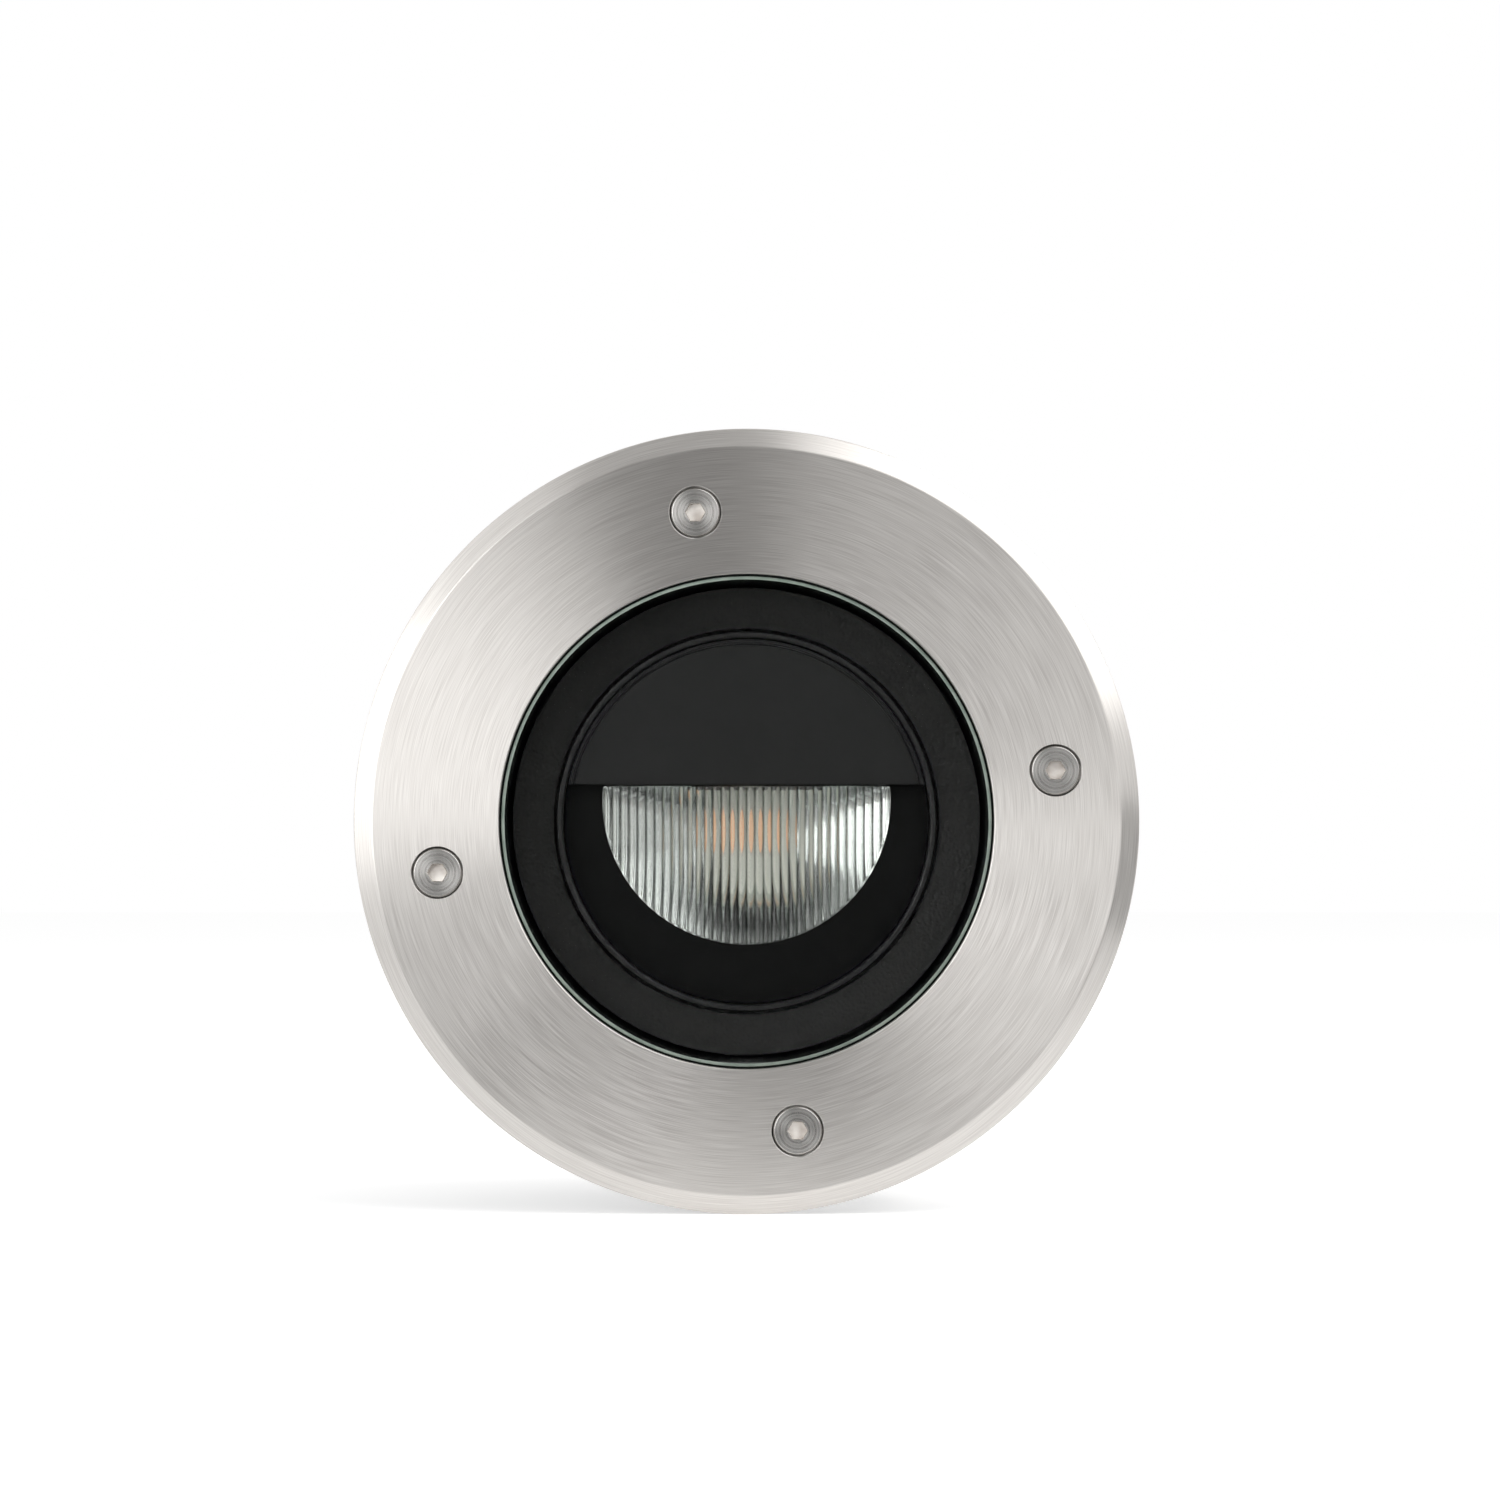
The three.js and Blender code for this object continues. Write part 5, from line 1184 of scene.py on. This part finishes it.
def seen_ray(tree):
    """1 for the rays that show a background to the camera, straight or by gloss or glass."""
    ray = add_node(tree, "LightPath")
    direct = add_node(tree, "Math", {"operation": "MAXIMUM"}, {
        0: ray.outputs["Is Camera Ray"], 1: ray.outputs["Is Glossy Ray"],
    })
    return add_node(tree, "Math", {"operation": "MAXIMUM"}, {
        0: direct.outputs[0], 1: ray.outputs["Is Transmission Ray"],
    }).outputs[0]


room_light = 0.55
tree = world.node_tree
level = add_node(tree, "MapRange", {3: room_light, 4: 1}, {0: seen_ray(tree)})
sky = add_node(tree, "Background", {"Color": (1, 1, 1, 1)}, {"Strength": level.outputs[0]})
add_node(tree, "OutputWorld", links={"Surface": sky.outputs[0]})

floor_glow = 0.53
white_floor = new_material("white_studio_floor")
tree = white_floor.node_tree
matt = add_node(tree, "BsdfDiffuse", {"Color": linear("e9e9e9")})
level = add_node(tree, "MapRange", {4: floor_glow}, {0: seen_ray(tree)})
glow = add_node(tree, "Emission", {"Color": (1, 1, 1, 1)}, {"Strength": level.outputs[0]})
shader = add_node(tree, "AddShader", links={0: matt.outputs[0], 1: glow.outputs[0]})
add_node(tree, "OutputMaterial", links={"Surface": shader.outputs[0]})
deselect()
bpy.ops.mesh.primitive_plane_add(size=8, location=(0, 0, floor_z))
floor = bpy.context.object
floor.name = "floor"
floor.data.materials.append(white_floor)


def soft_lamp(name, place, width, height, radiance):
    """A large soft lamp at a place in metres, turned to face the bezel."""
    lamp = bpy.data.lights.new(name, "AREA")
    lamp.shape = "RECTANGLE"
    lamp.size, lamp.size_y = width, height
    lamp.energy = radiance * math.pi * width * height
    thing = bpy.data.objects.new(name, lamp)
    scene.collection.objects.link(thing)
    thing.visible_camera = False
    thing.location = place
    tilt = math.atan2(math.hypot(place[0], place[1]), place[2])
    thing.rotation_euler = (tilt, 0, math.atan2(place[1], place[0]) + math.pi / 2)


def direction(turn_degrees, off_axis_degrees, distance):
    """A place seen from the bezel: its turn round the main axis and its angle off that axis."""
    across = distance * math.sin(math.radians(off_axis_degrees))
    x, z = polar(across, turn_degrees)
    return (x, -distance * math.cos(math.radians(off_axis_degrees)), z)


def card(name, corners, grey):
    """A four-cornered card of an even grey that only reflections see."""
    material = new_material(name)
    tree = material.node_tree
    glow = add_node(tree, "Emission", {"Color": (grey, grey, grey, 1)})
    add_node(tree, "OutputMaterial", links={"Surface": glow.outputs[0]})
    deselect()
    bpy.ops.mesh.primitive_plane_add(size=1)
    thing = bpy.context.object
    thing.name = name
    for point, corner in zip(thing.data.vertices, corners):
        point.co = corner
    thing.data.materials.append(material)
    thing.visible_camera = False
    thing.visible_diffuse = False
    thing.visible_shadow = False


def wall_card(name, y, reach, grey):
    card(name, [(x, y, z) for z in (-reach, reach) for x in (-reach, reach)], grey)


def floor_card(name, left_x, right_x, far_y, near_y, z, grey):
    card(name, [(x, y, z) for y in (far_y, near_y) for x in (left_x, right_x)], grey)


def ray_card(name, turn_degrees, spread, near, far, distance, grey):
    """A card along one ray of the view axis, from one angle off the axis to another."""
    sides = (turn_degrees - spread / 2, turn_degrees + spread / 2)
    card(name, [direction(side, off, distance) for off in (near, far) for side in sides], grey)


soft_lamp("left_lamp", direction(170, 42, 1.3), 1.35, 1.1, 2.4)
soft_lamp("right_lamp", direction(48, 72, 1.3), 1.5, 1.4, 1.8)
soft_lamp("back_lamp", (0.7, 1.3, 0.9), 0.8, 0.8, 1.2)
wall_card("front_wall", -1.6, 1.7, 0.85)
wall_card("camera_card", -1.5, 0.17, 0.004)
ray_card("overhead_card", 101, 34, 14, 78, 1.2, 0.3)
ray_card("right_card", 9, 26, 30, 48, 1.25, 1.5)
ray_card("side_card", 350, 26, 62, 88, 0.35, 0.01)
floor_card("floor_card", -0.6, 0.6, -1.62, -0.75, floor_z + 0.001, 0.004)
for name, left_x, right_x, grey in (
    ("left_floor_card", -0.6, -0.12, 0.75), ("near_floor_card", -0.12, 0.07, 0.17),
    ("right_floor_card", 0.07, 0.6, 0.6),
):
    floor_card(name, left_x, right_x, -0.75, -0.07, floor_z + 0.0005, grey)

# Camera: square on the bezel, as in the photograph, framed for a 1500 by 1500 image in which
# the bezel is 788 wide.
frame_side = 1500
bezel_side = 788
view_centre = (746.5, 821.5)
camera_distance = 1.2
view_width = 2 * bezel_radius * mm * frame_side / bezel_side
camera_data = bpy.data.cameras.new("camera")
camera = bpy.data.objects.new("camera", camera_data)
scene.collection.objects.link(camera)
camera.location = (0, bezel_low.y - camera_distance, 0)
camera.rotation_euler = (math.radians(90), 0, 0)
camera_data.sensor_width = 36
camera_data.lens = camera_data.sensor_width * camera_distance / view_width
camera_data.shift_x = (frame_side / 2 - view_centre[0]) / frame_side
camera_data.shift_y = (view_centre[1] - frame_side / 2) / frame_side
scene.camera = camera
scene.view_settings.view_transform = "Standard"
